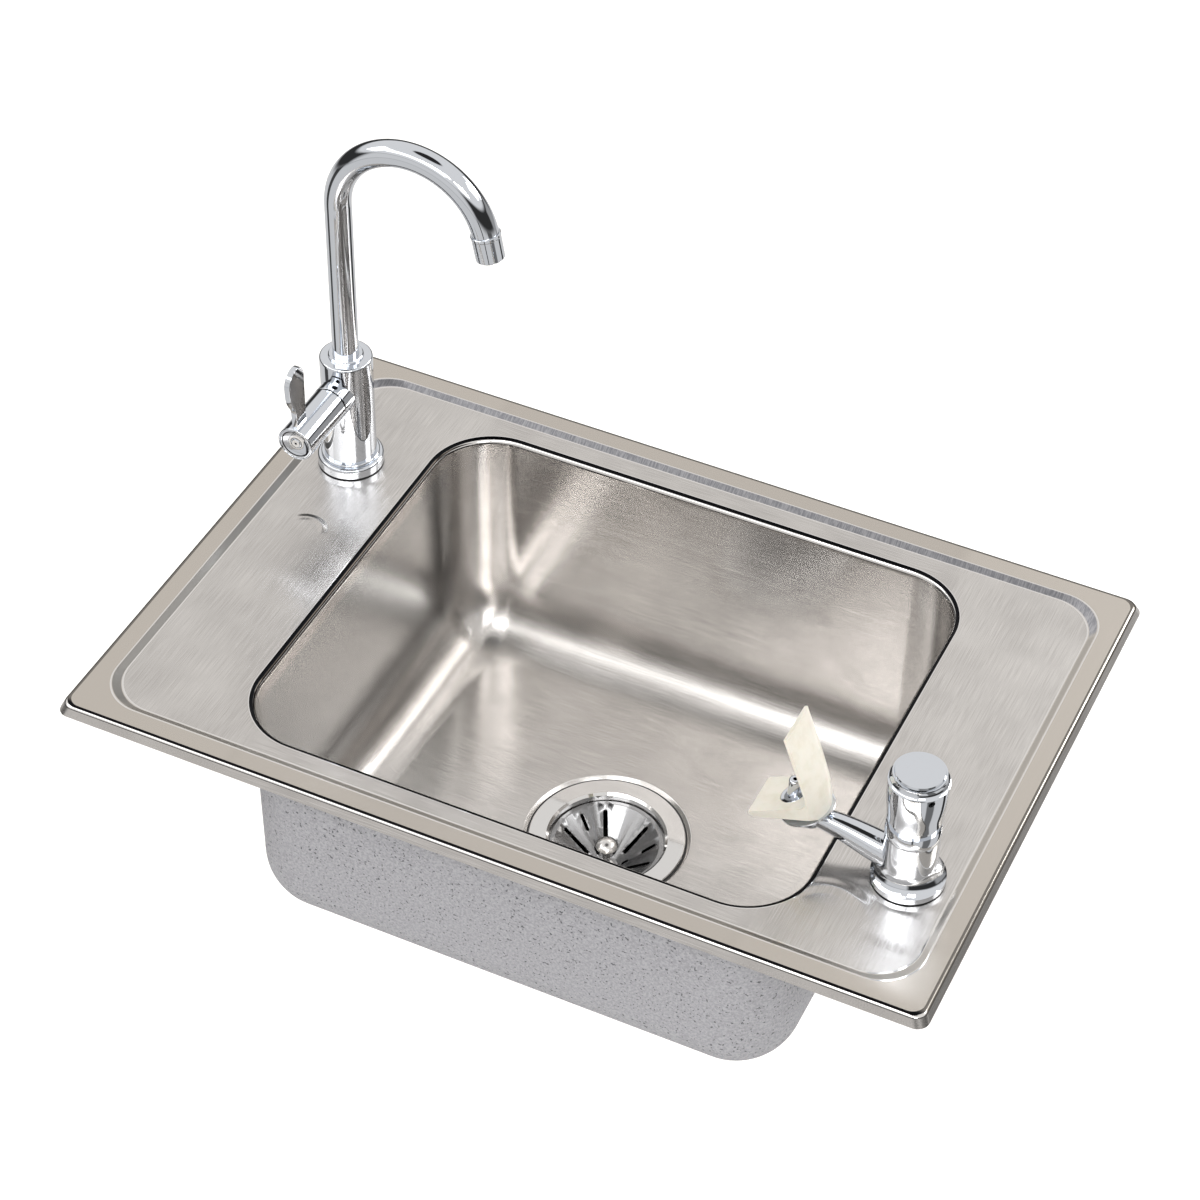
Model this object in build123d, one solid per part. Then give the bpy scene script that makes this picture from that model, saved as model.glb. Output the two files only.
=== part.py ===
from build123d import *
import os
from math import acos, atan2, cos, degrees, radians, sin, sqrt, tan

# Classroom sink: a drop-in stainless bowl with a gooseneck faucet, a push-button bubbler and a drain.
# Millimetres. +Z is up, +X runs to the user's right, +Y runs to the back.
# The origin is the middle of the rim, on the counter that the rim rests on.

# Rim and deck
rim_length = 635.0
rim_width = 432.0
rim_height = 7.6
rim_corner = 9.0
flange_run = 8.0
crest_radius = 2.2
border_width = 16.0
step_run = 4.5
step_drop = 2.2
step_corner = 32.0
sheet = 1.2

# Bowl
side_deck = 115.5
front_deck = 45.0
bowl_length = rim_length - 2 * side_deck
bowl_width = rim_width - 2 * front_deck
bowl_depth = 185.4
bowl_corner = 46.0
bowl_draft = 0.5
bowl_edge_radius = 4.0
floor_radius = 42.0
bowl_shift_x = 2.0
bowl_shift_y = -4.0
coat_thickness = 1.6
coat_top_drop = 8.0

# Seats, seals and rails
face_gap = 0.1
running_gap = 0.06
open_gap = 0.3
seal_width = 5.2
seal_inset = 2.4
rail_inset = 11.0
rail_width = 10.0
rail_height = 9.0
rail_wall = 1.0
rail_lip = 1.6
rail_end_inset = 60.0

# Drain
dish_depth = 2.4
dish_run = 2.6
drain_hole_radius = 44.6
drain_flange_radius = 57.5
drain_flange_thickness = 1.5
drain_flange_gap = 1.2
drain_mouth_radius = 42.8
drain_thread_radius = 44.2
drain_thread_length = 19.0
drain_wall = 1.6
ledge_depth = 6.6
ledge_width = 3.3
cup_depth = 38.0
outlet_radius = 18.4
outlet_length = 24.0
neck_wall = 5.0
drain_gasket_thickness = 3.0
friction_ring_thickness = 1.0
drain_nut_height = 10.0
drain_nut_wall = 8.0
drain_nut_lugs = 6
tailpiece_radius = 19.05
tailpiece_wall = 1.15
tailpiece_length = 54.0
tailpiece_lip = 1.6
tailpiece_root = 0.4
tailpiece_root_below = 1.0
washer_thickness = 2.0
coupling_wall = 4.0
coupling_height = 20.0
coupling_lip = 2.8

# Strainer basket
basket_wall = 1.0
basket_lip_height = 1.4
basket_cone_depth = 25.0
basket_floor_radius = 9.0
slot_count = 6
slot_start_angle = 57.0
plain_sector = 0
long_slot_inner = 15.0
long_slot_outer = 35.5
long_slot_width = 3.4
short_slot_inner = 25.5
short_slot_outer = 36.0
short_slot_width = 2.8
inner_slot_inner = 11.0
inner_slot_outer = 16.0
inner_slot_width = 2.2
post_radius = 3.0
knob_radius = 8.6
knob_height = 9.0
knob_waist = 4.2
knob_drop = 4.0
stopper_radius = 24.0
stopper_thickness = 3.0

# Faucet
faucet_inset_x = 60.5
faucet_inset_y = 119.0
deck_hole_radius = 17.5
gasket_thickness = 1.1
base_radius = 24.2
base_height = 10.4
body_radius = 19.2
body_height = 87.1
body_top_radius = 2.0
valve_height = 60.6
boss_radius = 13.6
boss_reach = 26.3
valve_bore_radius = 9.5
valve_bore_start = 7.0
cartridge_length = 17.5
stem_radius = 4.5
stem_reach = 57.0
waterway_radius = 5.0
spout_tube_radius = 9.55
spout_tube_wall = 1.3
spout_straight_top = 236.6
spout_arc_radius = 57.3
spout_arc_angle = 169.0
spout_tail = 5.0
ferrule_wall = 1.5
ferrule_height = 9.6
o_ring_section = 0.44
collar_wall = 3.0
collar_depth = 6.0
collar_stand = 1.9
aerator_radius = 10.6
aerator_end_radius = 10.2
aerator_length = 20.0
aerator_overlap = 7.0
aerator_lip = 1.5
aerator_notches = 4
bonnet_screw_radius = 2.0
bonnet_screw_length = 2.4
bonnet_screw_reach = 22.5
bonnet_screw_turn = 12.0

# Handle
handle_radius = 13.5
handle_gap = 0.4
handle_wall = 1.9
handle_reach = 76.2
hub_radius = 6.8
hub_length = 18.0
web_thickness = 4.0
cap_recess = 3.4
cap_rim = 1.3
lever_thickness = 4.4
lever_height = 51.5
lever_neck_width = 12.0
lever_neck_rise = 15.0
lever_nose_drop = 13.0
lever_blade_width = 19.5
lever_back_inset = 13.9
handle_screw_radius = 2.0
handle_screw_head = 4.0

# Shanks that fasten the faucet and the bubbler
shank_radius = 10.4
shank_bore = 8.0
shank_length = 62.0
inlet_radius = 9.5
inlet_length = 16.0
shank_engagement = 9.0
deck_washer_radius = 22.0
deck_washer_thickness = 3.5
locknut_across_flats = 32.0
locknut_height = 8.0

# Bubbler
bubbler_inset_x = 55.5
bubbler_inset_y = 111.0
bubbler_base_radius = 24.8
bubbler_base_edge = 4.2
bubbler_waist_radius = 18.3
bubbler_waist_height = 18.0
bead_start = 42.3
bead_height = 9.8
bead_radius = 18.7
neck_radius = 16.6
barrel_height = 81.5
bubbler_bore_radius = 9.0
bubbler_bore_start = 32.0
plunger_radius = 3.4
plunger_insertion = 26.0
button_travel = 5.0
cap_skirt_radius = 18.4
cap_waist_radius = 20.0
cap_disc_radius = 16.0
cap_height = 41.5
cap_roof = 5.4
cap_shoulder_height = 33.0
cap_waist_start = 14.0
cap_screw_radius = 2.2
cap_screw_height = 30.0
cap_screw_turn = -45.0
spring_radius = 6.4
spring_wire = 1.2
spring_coils = 4.0

# Bubbler head and mouth guard
arm_start_height = 12.7
arm_waterway_radius = 3.2
arm_rise = 13.4
arm_root_radius = 11.4
arm_neck_radius = 8.7
arm_neck_reach = 46.0
bell_reach = 72.2
bell_height = 31.4
bell_tilt = 20.0
bell_radius = 18.6
bell_rim = 1.2
bell_stem_radius = 9.5
bell_flare_depth = 6.5
head_reach = 83.6
head_height = 39.0
head_tilt = 27.6
guard_width = 34.0
guard_lip_reach = 26.0
guard_lip_thickness = 2.8
guard_flat_reach = 13.0
guard_under_chamfer = 3.4
guard_shield_foot = 19.6
guard_shield_height = 57.0
guard_shield_lean = 7.4
guard_fold_radius = 8.0
nozzle_shift = 1.5
nozzle_thread_radius = 4.8
nozzle_thread_grip = 5.0
nozzle_flange_radius = 9.6
nozzle_flange_thickness = 1.5
nozzle_tip_radius = 4.0
nozzle_height = 13.0
nozzle_orifice = 1.4

# Levels that follow from the sizes above
border_z = rim_height
deck_z = border_z - step_drop
deck_under_z = deck_z - sheet
floor_z = deck_z - bowl_depth
seat_z = floor_z - dish_depth
step_inset = flange_run + border_width
drain_x = bowl_shift_x
drain_y = bowl_shift_y
faucet_x = -rim_length / 2 + faucet_inset_x
faucet_y = rim_width / 2 - faucet_inset_y
bubbler_x = rim_length / 2 - bubbler_inset_x
bubbler_y = -rim_width / 2 + bubbler_inset_y

UP = (Align.CENTER, Align.CENTER, Align.MIN)


def rounded(inset, corner, z):
    """Rounded rectangle that lies a distance inside the rim's outline."""
    length = rim_length - 2 * inset
    width = rim_width - 2 * inset
    return Pos(0, 0, z) * RectangleRounded(length, width, corner)


def rod(radius, z_low, z_high):
    """Upright cylinder between two levels on the Z axis."""
    return Pos(0, 0, z_low) * Cylinder(radius, z_high - z_low, align=UP)


def tube(inner, outer, z_low, z_high):
    """Upright ring between two levels on the Z axis."""
    return rod(outer, z_low, z_high) - rod(inner, z_low, z_high)


def spin(*corners):
    """Solid of revolution about Z from the corners (radius, height) of its section."""
    outline = Polyline(*[(r, 0, z) for r, z in corners], close=True)
    return revolve(make_face(outline), Axis.Z)


def spin_curve(curve):
    """Solid of revolution about Z from a closed curve in the XZ plane."""
    return revolve(make_face(curve), Axis.Z)


def around(count, piece, start=0.0):
    """Copies of a piece, evenly spaced about the Z axis."""
    turns = [start + 360 / count * k for k in range(count)]
    return [Rot(0, 0, angle) * piece for angle in turns]


# Sink sheet
def rim_block(drop):
    """Rim with its sloped flange and recessed deck, lowered by a sheet thickness or by none."""
    flange_angle = degrees(acos(flange_run / sqrt(flange_run**2 + rim_height**2)))
    step_angle = degrees(acos(step_run / sqrt(step_run**2 + step_drop**2)))
    crest_shift = drop * tan(radians(flange_angle / 2))
    step_shift = drop * tan(radians(step_angle / 2))
    top = border_z - drop
    foot = top * flange_run / rim_height
    edge = flange_run + crest_shift
    outer = loft([rounded(edge - foot, rim_corner, 0), rounded(edge, rim_corner, top)])
    if drop == 0:
        outer = fillet(outer.edges().group_by(Axis.Z)[-1], crest_radius)
    upper = rounded(step_inset - step_shift, step_corner, top)
    lower = rounded(step_inset + step_run - step_shift, step_corner, top - step_drop)
    return outer - loft([lower, upper])


def bowl_block(grow, top):
    """Inside of the bowl, or the same shape grown by a wall thickness on every side."""
    mouth = RectangleRounded(bowl_length + 2 * grow, bowl_width + 2 * grow, bowl_corner + grow)
    mouth = Pos(bowl_shift_x, bowl_shift_y, deck_z) * mouth
    deep = extrude(mouth, -(bowl_depth + grow), taper=bowl_draft)
    deep = fillet(deep.edges().group_by(Axis.Z)[0], floor_radius + grow)
    cut = Pos(0, 0, top) * Box(2 * rim_length, 2 * rim_width, bowl_depth, align=UP)
    return deep - cut


def make_sink_body():
    shell = rim_block(0) - rim_block(sheet)
    stub = bowl_block(sheet, deck_under_z)
    shell = shell + stub
    inside = shell.edges().filter_by_position(Axis.Z, deck_under_z - 0.01, deck_under_z + 0.01)
    reach_x = bowl_length / 2 + 2 * sheet + abs(bowl_shift_x)
    reach_y = bowl_width / 2 + 2 * sheet + abs(bowl_shift_y)
    inside = [e for e in inside if abs(e.center().X) < reach_x and abs(e.center().Y) < reach_y]
    shell = fillet(inside, bowl_edge_radius - sheet)
    shell = shell - bowl_block(0, border_z + sheet)
    mouth = shell.edges().filter_by_position(Axis.Z, deck_z - 0.01, deck_z + 0.01)
    mouth = [e for e in mouth if abs(e.center().X) < reach_x and abs(e.center().Y) < reach_y]
    shell = fillet(mouth, bowl_edge_radius)

    dish_radius = drain_flange_radius + drain_flange_gap
    dish_edge = (dish_radius + dish_run, 0)
    under = -dish_depth - sheet
    cup = spin((0, 0), dish_edge, (dish_radius, -dish_depth), (0, -dish_depth))
    saucer = spin((0, 0), dish_edge, (dish_radius, under), (0, under))
    here = Pos(drain_x, drain_y, floor_z)
    shell = shell + here * saucer - here * cup
    shell = shell - here * rod(drain_hole_radius, -4 * dish_depth, dish_depth)
    for x, y in ((faucet_x, faucet_y), (bubbler_x, bubbler_y)):
        shell = shell - Pos(x, y, 0) * rod(deck_hole_radius, 0, border_z)
    return shell


def make_sound_coat():
    top = deck_under_z - coat_top_drop
    skin = bowl_block(sheet + coat_thickness, top) - bowl_block(sheet + face_gap, top + sheet)
    clear = drain_flange_radius + drain_flange_gap + dish_run + sheet
    return skin - Pos(drain_x, drain_y, floor_z) * rod(clear, -4 * sheet - coat_thickness, 4 * sheet)


def make_rim_seal():
    height = seal_inset + seal_width - flange_run * sheet / rim_height
    slope = rim_height / flange_run
    start = sheet * sqrt(1 + 1 / slope**2) + 2 * face_gap
    rise = (seal_inset + seal_width - start + face_gap) * slope
    foot = rounded(seal_inset, rim_corner, 0)
    lifted = loft([rounded(start, rim_corner, 0), rounded(start + rise / slope, rim_corner, rise)])
    strip = extrude(foot, min(rise, height)) & lifted
    return strip - extrude(rounded(seal_inset + seal_width, rim_corner, 0), rim_height)


def make_mount_rails():
    """Four lipped channels welded under the border, where an installer's clips hook in."""
    top = border_z - sheet
    half = rail_width / 2
    inside = Pos(0, -rail_wall) * Rectangle(rail_width - 2 * rail_wall, rail_height)
    lip = Rectangle(rail_lip + rail_wall, rail_wall)
    lip = Pos((rail_lip + rail_wall) / 2 - half, (rail_wall - rail_height) / 2) * lip
    section = Rectangle(rail_width, rail_height) - inside + lip + mirror(lip, Plane.YZ)
    rails = []
    for turn, reach, span in ((0, rim_width, rim_length), (90, rim_length, rim_width)):
        length = span - 2 * rail_end_inset
        bar = extrude(Plane.XZ * section, length / 2, both=True)
        bar = Rot(0, 0, 90) * bar
        offset = reach / 2 - rail_inset - half
        for side in (-1, 1):
            place = Rot(0, 0, turn) * Pos(0, side * offset, top - rail_height / 2)
            rails.append(place * bar)
    return Compound(rails)


# Drain
def make_drain_body():
    top = seat_z + drain_flange_thickness
    ledge = seat_z - ledge_depth
    ledge_radius = drain_mouth_radius - ledge_width
    cup_floor = top - cup_depth
    cup_under = cup_floor - drain_wall
    neck = outlet_radius + neck_wall
    body_radius_low = ledge_radius + drain_wall
    thread_low = seat_z - drain_thread_length
    return spin(
        (drain_flange_radius - 0.6, top),
        (drain_flange_radius, top - 0.6),
        (drain_flange_radius, seat_z),
        (drain_thread_radius, seat_z),
        (drain_thread_radius, thread_low),
        (body_radius_low, thread_low - 2 * drain_wall),
        (body_radius_low, cup_under + 2 * drain_wall),
        (body_radius_low - 2 * drain_wall, cup_under),
        (neck, cup_under),
        (neck, cup_floor - outlet_length),
        (outlet_radius, cup_floor - outlet_length),
        (outlet_radius, cup_floor),
        (ledge_radius, cup_floor),
        (ledge_radius, ledge),
        (drain_mouth_radius, ledge),
        (drain_mouth_radius, top - 1.6),
        (drain_mouth_radius + 1.8, top),
    )


drain_top = seat_z + drain_flange_thickness
cup_floor_z = drain_top - cup_depth
neck_end_z = cup_floor_z - outlet_length
neck_radius_drain = outlet_radius + neck_wall
stack_z = seat_z - sheet


def make_drain_gasket():
    inner = drain_thread_radius + face_gap
    return tube(inner, drain_flange_radius, stack_z - drain_gasket_thickness, stack_z)


def make_friction_ring():
    top = stack_z - drain_gasket_thickness
    inner = drain_thread_radius + face_gap
    return tube(inner, drain_flange_radius, top - friction_ring_thickness, top)


def make_drain_locknut():
    top = stack_z - drain_gasket_thickness - friction_ring_thickness
    inner = drain_thread_radius + face_gap
    nut = tube(inner, inner + drain_nut_wall, top - drain_nut_height, top)
    lug = Box(8, 9, drain_nut_height - 2, align=UP)
    lug = Pos(inner + drain_nut_wall, 0, top - drain_nut_height) * lug
    for copy in around(drain_nut_lugs, lug):
        nut = nut + (copy - rod(inner, top - drain_nut_height, top))
    return nut


def make_tailpiece_washer():
    return tube(outlet_radius, neck_radius_drain - 0.6, neck_end_z - washer_thickness, neck_end_z)


def make_tailpiece():
    top = neck_end_z - washer_thickness
    bore = tailpiece_radius - tailpiece_wall
    root_low = top - tailpiece_lip - coupling_lip - tailpiece_root_below
    pipe = tube(bore, tailpiece_radius, top - tailpiece_length, top)
    root = tube(bore, tailpiece_radius + tailpiece_root, root_low, top)
    return pipe + root + tube(bore, neck_radius_drain - 0.6, top - tailpiece_lip, top)


def make_coupling_nut():
    low = neck_end_z - washer_thickness - tailpiece_lip
    inner = neck_radius_drain + face_gap
    hole = tailpiece_radius + tailpiece_root + face_gap
    nut = spin(
        (inner, low),
        (hole, low),
        (hole, low - coupling_lip),
        (inner + coupling_wall - 1, low - coupling_lip),
        (inner + coupling_wall, low - coupling_lip + 1),
        (inner + coupling_wall, low - coupling_lip + coupling_height - 1),
        (inner + coupling_wall - 1, low - coupling_lip + coupling_height),
        (inner, low - coupling_lip + coupling_height),
    )
    flat = Pos(inner + coupling_wall, 0, low - coupling_lip) * Box(2.4, 12, coupling_height - 6, align=UP)
    for copy in around(6, flat):
        nut = nut + (copy - rod(inner, low - coupling_lip, low + coupling_height))
    return nut


basket_ledge_z = seat_z - ledge_depth + open_gap
basket_top_z = basket_ledge_z + basket_lip_height
basket_floor_z = basket_ledge_z - basket_cone_depth
basket_cone_radius = drain_mouth_radius - ledge_width - 2 * open_gap


def make_basket():
    rim_out = drain_mouth_radius - 2 * open_gap
    cone = spin(
        (0, basket_floor_z),
        (basket_floor_radius, basket_floor_z),
        (basket_cone_radius, basket_ledge_z),
        (rim_out, basket_ledge_z),
        (rim_out, basket_top_z - 0.4),
        (rim_out - 0.4, basket_top_z),
        (basket_cone_radius - 0.4, basket_top_z),
        (basket_floor_radius - 0.2, basket_floor_z + basket_wall + 0.2),
        (0, basket_floor_z + basket_wall + 0.2),
    )
    between = slot_start_angle + 180 / slot_count
    long_slot = radial_slot(long_slot_inner, long_slot_outer, long_slot_width)
    short_slot = radial_slot(short_slot_inner, short_slot_outer, short_slot_width)
    inner_slot = radial_slot(inner_slot_inner, inner_slot_outer, inner_slot_width)
    long_slots = around(slot_count, long_slot, slot_start_angle)
    short_slots = around(slot_count, short_slot, between)
    inner_slots = around(slot_count, inner_slot, between)
    del short_slots[plain_sector]
    for slot in long_slots + short_slots + inner_slots:
        cone = cone - slot
    return cone - rod(post_radius + face_gap, basket_floor_z - 5, basket_floor_z + 5)


def radial_slot(near, far, width):
    """Upright cutter for one slot that points away from the middle of the basket."""
    return Pos((near + far) / 2, 0, basket_floor_z - 5) * extrude(SlotOverall(far - near, width), 60)


knob_top_z = drain_top - knob_drop
stopper_low_z = cup_floor_z + open_gap
stopper_top_z = stopper_low_z + stopper_thickness


def make_basket_knob():
    low = knob_top_z - knob_height
    waist = low + knob_waist
    crown_radius = (knob_radius**2 + (knob_top_z - waist) ** 2) / (2 * (knob_top_z - waist))
    half_way = knob_radius / 2
    half_drop = crown_radius - sqrt(crown_radius**2 - half_way**2)
    dome = ThreePointArc((knob_radius, 0, waist), (half_way, 0, knob_top_z - half_drop), (0, 0, knob_top_z))
    under = Polyline(
        (0, 0, knob_top_z),
        (0, 0, stopper_top_z),
        (post_radius, 0, stopper_top_z),
        (post_radius, 0, low),
    )
    neck = ThreePointArc((post_radius, 0, low), (knob_radius * 0.78, 0, low + 1.3), (knob_radius, 0, waist))
    knob = spin_curve(Curve() + [dome, under, neck])
    flange_low = basket_floor_z + basket_wall + 0.2
    knob = knob + rod(post_radius + 2.4, flange_low, flange_low + 1.6)
    return knob + rod(post_radius + 2, stopper_top_z, basket_floor_z)


def make_basket_stopper():
    return spin(
        (0, stopper_low_z),
        (stopper_radius - 1, stopper_low_z),
        (stopper_radius, stopper_low_z + 1),
        (stopper_radius, stopper_top_z - 0.5),
        (stopper_radius - 0.5, stopper_top_z),
        (0, stopper_top_z),
    )


# Shared fastening of a fitting through the deck
def make_shank(top_z):
    """Threaded tube from inside a fitting to below the counter, with a plain inlet at its foot."""
    low = deck_under_z - shank_length
    outside = rod(shank_radius, low + inlet_length, top_z) + rod(inlet_radius, low, low + inlet_length)
    return outside - rod(shank_bore, low, top_z)


def make_deck_washer():
    inner = shank_radius + face_gap
    return tube(inner, deck_washer_radius, deck_under_z - deck_washer_thickness, deck_under_z)


def make_locknut():
    top = deck_under_z - deck_washer_thickness
    hexagon = RegularPolygon(locknut_across_flats / 2, 6, major_radius=False)
    nut = Pos(0, 0, top - locknut_height) * extrude(hexagon, locknut_height)
    nut = chamfer(nut.edges().group_by(Axis.Z)[0], 0.8)
    return nut - rod(shank_radius + face_gap, top - locknut_height, top)


# Faucet, built about the Z axis and moved to its place
gasket_top = deck_z + gasket_thickness
body_z = gasket_top + base_height
body_top_z = body_z + body_height
valve_z = body_z + valve_height
shank_top = gasket_top + shank_engagement
socket_radius = spout_tube_radius + face_gap + ferrule_wall + running_gap
collar_z = body_top_z - collar_depth
socket_z = collar_z - ferrule_height - open_gap
valve_line = Pos(0, 0, valve_z) * Rot(90, 0, 0)


def make_fitting_gasket(outer):
    return tube(shank_radius + 1.5, outer - 1.4, deck_z, gasket_top)


def make_faucet_base():
    r = base_radius
    inner = shank_radius + 1.5
    bead_r = body_radius + 2.2
    edge_z = gasket_top + 5.6
    ledge_z = gasket_top + 8.0
    side = Polyline((inner, 0, gasket_top), (r, 0, gasket_top), (r, 0, edge_z))
    shoulder = ThreePointArc((r, 0, edge_z), (r - 0.7, 0, edge_z + 1.7), (r - 2.4, 0, ledge_z))
    ledge = Line((r - 2.4, 0, ledge_z), (bead_r - 0.6, 0, ledge_z))
    bead = ThreePointArc((bead_r - 0.6, 0, ledge_z), (bead_r, 0, ledge_z + 1.2), (bead_r - 0.9, 0, body_z))
    close = Polyline((bead_r - 0.9, 0, body_z), (inner, 0, body_z), (inner, 0, gasket_top))
    return spin_curve(Curve() + [side, shoulder, ledge, bead, close])


def make_faucet_body():
    body = rod(body_radius, body_z, body_top_z)
    body = fillet(body.edges().group_by(Axis.Z)[-1], body_top_radius)
    boss = valve_line * Cylinder(boss_radius, boss_reach, align=UP)
    boss = fillet(boss.edges().group_by(Axis.Y)[0], 0.5)
    body = body + boss
    body = body + rod(shank_radius + 1.4, gasket_top, body_z)
    body = body - rod(socket_radius, socket_z, body_top_z)
    body = body - rod(socket_radius + collar_wall / 2, collar_z, body_top_z)
    body = body - rod(waterway_radius, gasket_top, socket_z)
    body = body - rod(shank_radius + face_gap, gasket_top - 1, shank_top)
    bore = valve_line * Pos(0, 0, valve_bore_start) * Cylinder(valve_bore_radius, boss_reach, align=UP)
    body = body - bore
    return body - bonnet_hole()


def bonnet_place():
    """Place of the small screw on top of the valve boss, on its own Z axis."""
    return valve_line * Pos(0, 0, bonnet_screw_reach) * Rot(0, 0, 90 - bonnet_screw_turn) * Rot(0, 90, 0)


def bonnet_hole():
    return bonnet_place() * rod(bonnet_screw_radius + face_gap, valve_bore_radius, boss_radius + 1)


def make_bonnet_screw():
    top = boss_radius - 1.2
    screw = rod(bonnet_screw_radius, top - bonnet_screw_length, top)
    socket = Pos(0, 0, top - 1.2) * extrude(RegularPolygon(1.0, 6), 2)
    return bonnet_place() * (screw - socket)


def make_valve_cartridge():
    outer = valve_bore_radius - face_gap
    body = spin(
        (stem_radius + running_gap, valve_bore_start + 5),
        (stem_radius + running_gap, valve_bore_start + cartridge_length),
        (outer, valve_bore_start + cartridge_length),
        (outer, valve_bore_start),
        (0, valve_bore_start),
        (0, valve_bore_start + 5),
    )
    groove = tube(outer - 0.8, outer + 1, valve_bore_start + 8, valve_bore_start + 10)
    return valve_line * (body - groove)


def make_cartridge_stem():
    low = valve_bore_start + 5 + open_gap
    stem = rod(stem_radius, low, stem_reach)
    return valve_line * (stem - rod(handle_screw_radius, stem_reach - 9, stem_reach))


def lever_blade():
    """Flat wing that stands on the sleeve, drawn in the plane of the valve line and moved to it."""
    back = handle_reach - lever_back_inset
    foot = handle_radius - 1.5
    neck = foot + lever_neck_rise
    top = handle_radius + lever_height
    tip = back + lever_blade_width
    rear = Line((back, foot), (back - 0.6, top - 9))
    crown = ThreePointArc((back - 0.6, top - 9), (back + 3.4, top - 1.6), (back + 9, top))
    nose = ThreePointArc((back + 9, top), (tip - 3, top - 3.6), (tip, top - lever_nose_drop))
    waist = back + lever_neck_width
    bend = ((tip, top - lever_nose_drop), (tip - 3, neck + 9), (waist + 0.6, neck))
    front = Spline(*bend, tangents=((0, -1), (-0.1, -1)))
    stem = Polyline((waist + 0.6, neck), (waist, foot), (back, foot))
    outline = make_face(Curve() + [rear, crown, nose, front, stem])
    blade = extrude(Plane.YZ * outline, lever_thickness / 2, both=True)
    return mirror(blade, Plane.XZ)


def make_handle():
    start = boss_reach + handle_gap
    hub_start = stem_reach - hub_length + 6
    web_start = stem_reach + face_gap
    sleeve = rod(handle_radius, start, handle_reach)
    sleeve = fillet(sleeve.edges().group_by(Axis.Z)[-1], 0.8)
    sleeve = sleeve - rod(handle_radius - handle_wall, start - 1, web_start)
    sleeve = sleeve - rod(handle_radius - handle_wall, web_start + web_thickness, handle_reach - cap_recess)
    sleeve = sleeve - rod(handle_radius - cap_rim, handle_reach - cap_recess, handle_reach + 1)
    sleeve = sleeve + tube(stem_radius + face_gap, hub_radius, hub_start, web_start)
    sleeve = sleeve - rod(handle_screw_radius + face_gap, web_start - 1, web_start + web_thickness + 1)
    sleeve = valve_line * sleeve
    blade = Pos(0, 0, valve_z) * lever_blade()
    return sleeve + (blade - valve_line * rod(handle_radius - handle_wall / 2, start, handle_reach))


def make_handle_screw():
    head_z = stem_reach + face_gap + web_thickness
    screw = rod(handle_screw_radius - face_gap, stem_reach - 8, head_z)
    head = rod(handle_screw_head, head_z, head_z + 2.2)
    slot = Pos(0, 0, head_z + 1.4) * extrude(RegularPolygon(1.7, 6), 2)
    return valve_line * (screw + head - slot)


def make_handle_cap():
    r = handle_radius - cap_rim - face_gap
    face = handle_reach - 0.4
    foot = handle_reach - cap_recess
    rim = Polyline((0, 0, foot), (r, 0, foot), (r, 0, face), (r - 0.9, 0, face))
    dish = ThreePointArc((r - 0.9, 0, face), (r * 0.55, 0, face - 1.5), (3.4, 0, face - 1.6))
    boss = Polyline(
        (3.4, 0, face - 1.6),
        (3.0, 0, face - 0.9),
        (0.9, 0, face - 0.9),
        (0.9, 0, face - 1.9),
        (0, 0, face - 1.9),
        (0, 0, foot),
    )
    return valve_line * spin_curve(Curve() + [rim, dish, boss])


spout_foot_z = socket_z + open_gap
arc_end = radians(spout_arc_angle)


def bent_rod(radius):
    """Gooseneck of one radius: riser, arc over the bowl, and a short straight tail."""
    riser = rod(radius, spout_foot_z, spout_straight_top)
    ring = Pos(0, 0, spout_straight_top) * Circle(radius)
    pivot = Axis((spout_arc_radius, 0, spout_straight_top), (0, 1, 0))
    bend = revolve(ring, pivot, spout_arc_angle)
    return riser + bend + spout_end() * rod(radius, 0, spout_tail)


def spout_end():
    """Frame at the end of the gooseneck's arc, its Z axis pointing the way the water leaves."""
    x = spout_arc_radius * (1 - cos(arc_end))
    z = spout_straight_top + spout_arc_radius * sin(arc_end)
    return Pos(x, 0, z) * Rot(0, spout_arc_angle, 0)


def make_spout():
    return bent_rod(spout_tube_radius) - bent_rod(spout_tube_radius - spout_tube_wall)


def ferrule_grooves():
    return [spout_foot_z + ferrule_height * share for share in (0.3, 0.68)]


def make_spout_ferrule():
    outer = socket_radius - running_gap
    top = spout_foot_z + ferrule_height - open_gap
    ring = tube(spout_tube_radius + face_gap, outer, spout_foot_z, top)
    depth = 2 * o_ring_section + 0.02
    half = o_ring_section + 0.05
    for z in ferrule_grooves():
        ring = ring - tube(outer - depth, outer + 1, z - half, z + half)
    return ring


def make_spout_o_rings():
    centre = socket_radius - running_gap - o_ring_section
    return Compound([Pos(0, 0, z) * Torus(centre, o_ring_section) for z in ferrule_grooves()])


def make_spout_collar():
    inner = spout_tube_radius + running_gap
    outer = socket_radius + collar_wall / 2 - face_gap
    top = body_top_z + collar_stand
    return spin(
        (inner, collar_z),
        (outer, collar_z),
        (outer, top - 0.6),
        (outer - 0.6, top),
        (inner, top),
    )


def make_aerator_housing():
    start = spout_tail - aerator_overlap
    end = start + aerator_length
    inner = spout_tube_radius + face_gap
    cup = spin(
        (inner, start),
        (aerator_radius - 0.4, start),
        (aerator_radius, start + 0.4),
        (aerator_radius, start + 2.2),
        (aerator_end_radius + 0.2, start + 2.8),
        (aerator_end_radius, end - 0.8),
        (aerator_end_radius - 0.8, end),
        (inner - aerator_lip, end),
        (inner - aerator_lip, end - 1.2),
        (inner, end - 1.2),
    )
    notch = Pos(aerator_end_radius, 0, end - 0.9) * Box(3, 2.4, 3, align=UP)
    for copy in around(aerator_notches, notch, 45):
        cup = cup - copy
    return spout_end() * cup


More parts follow.
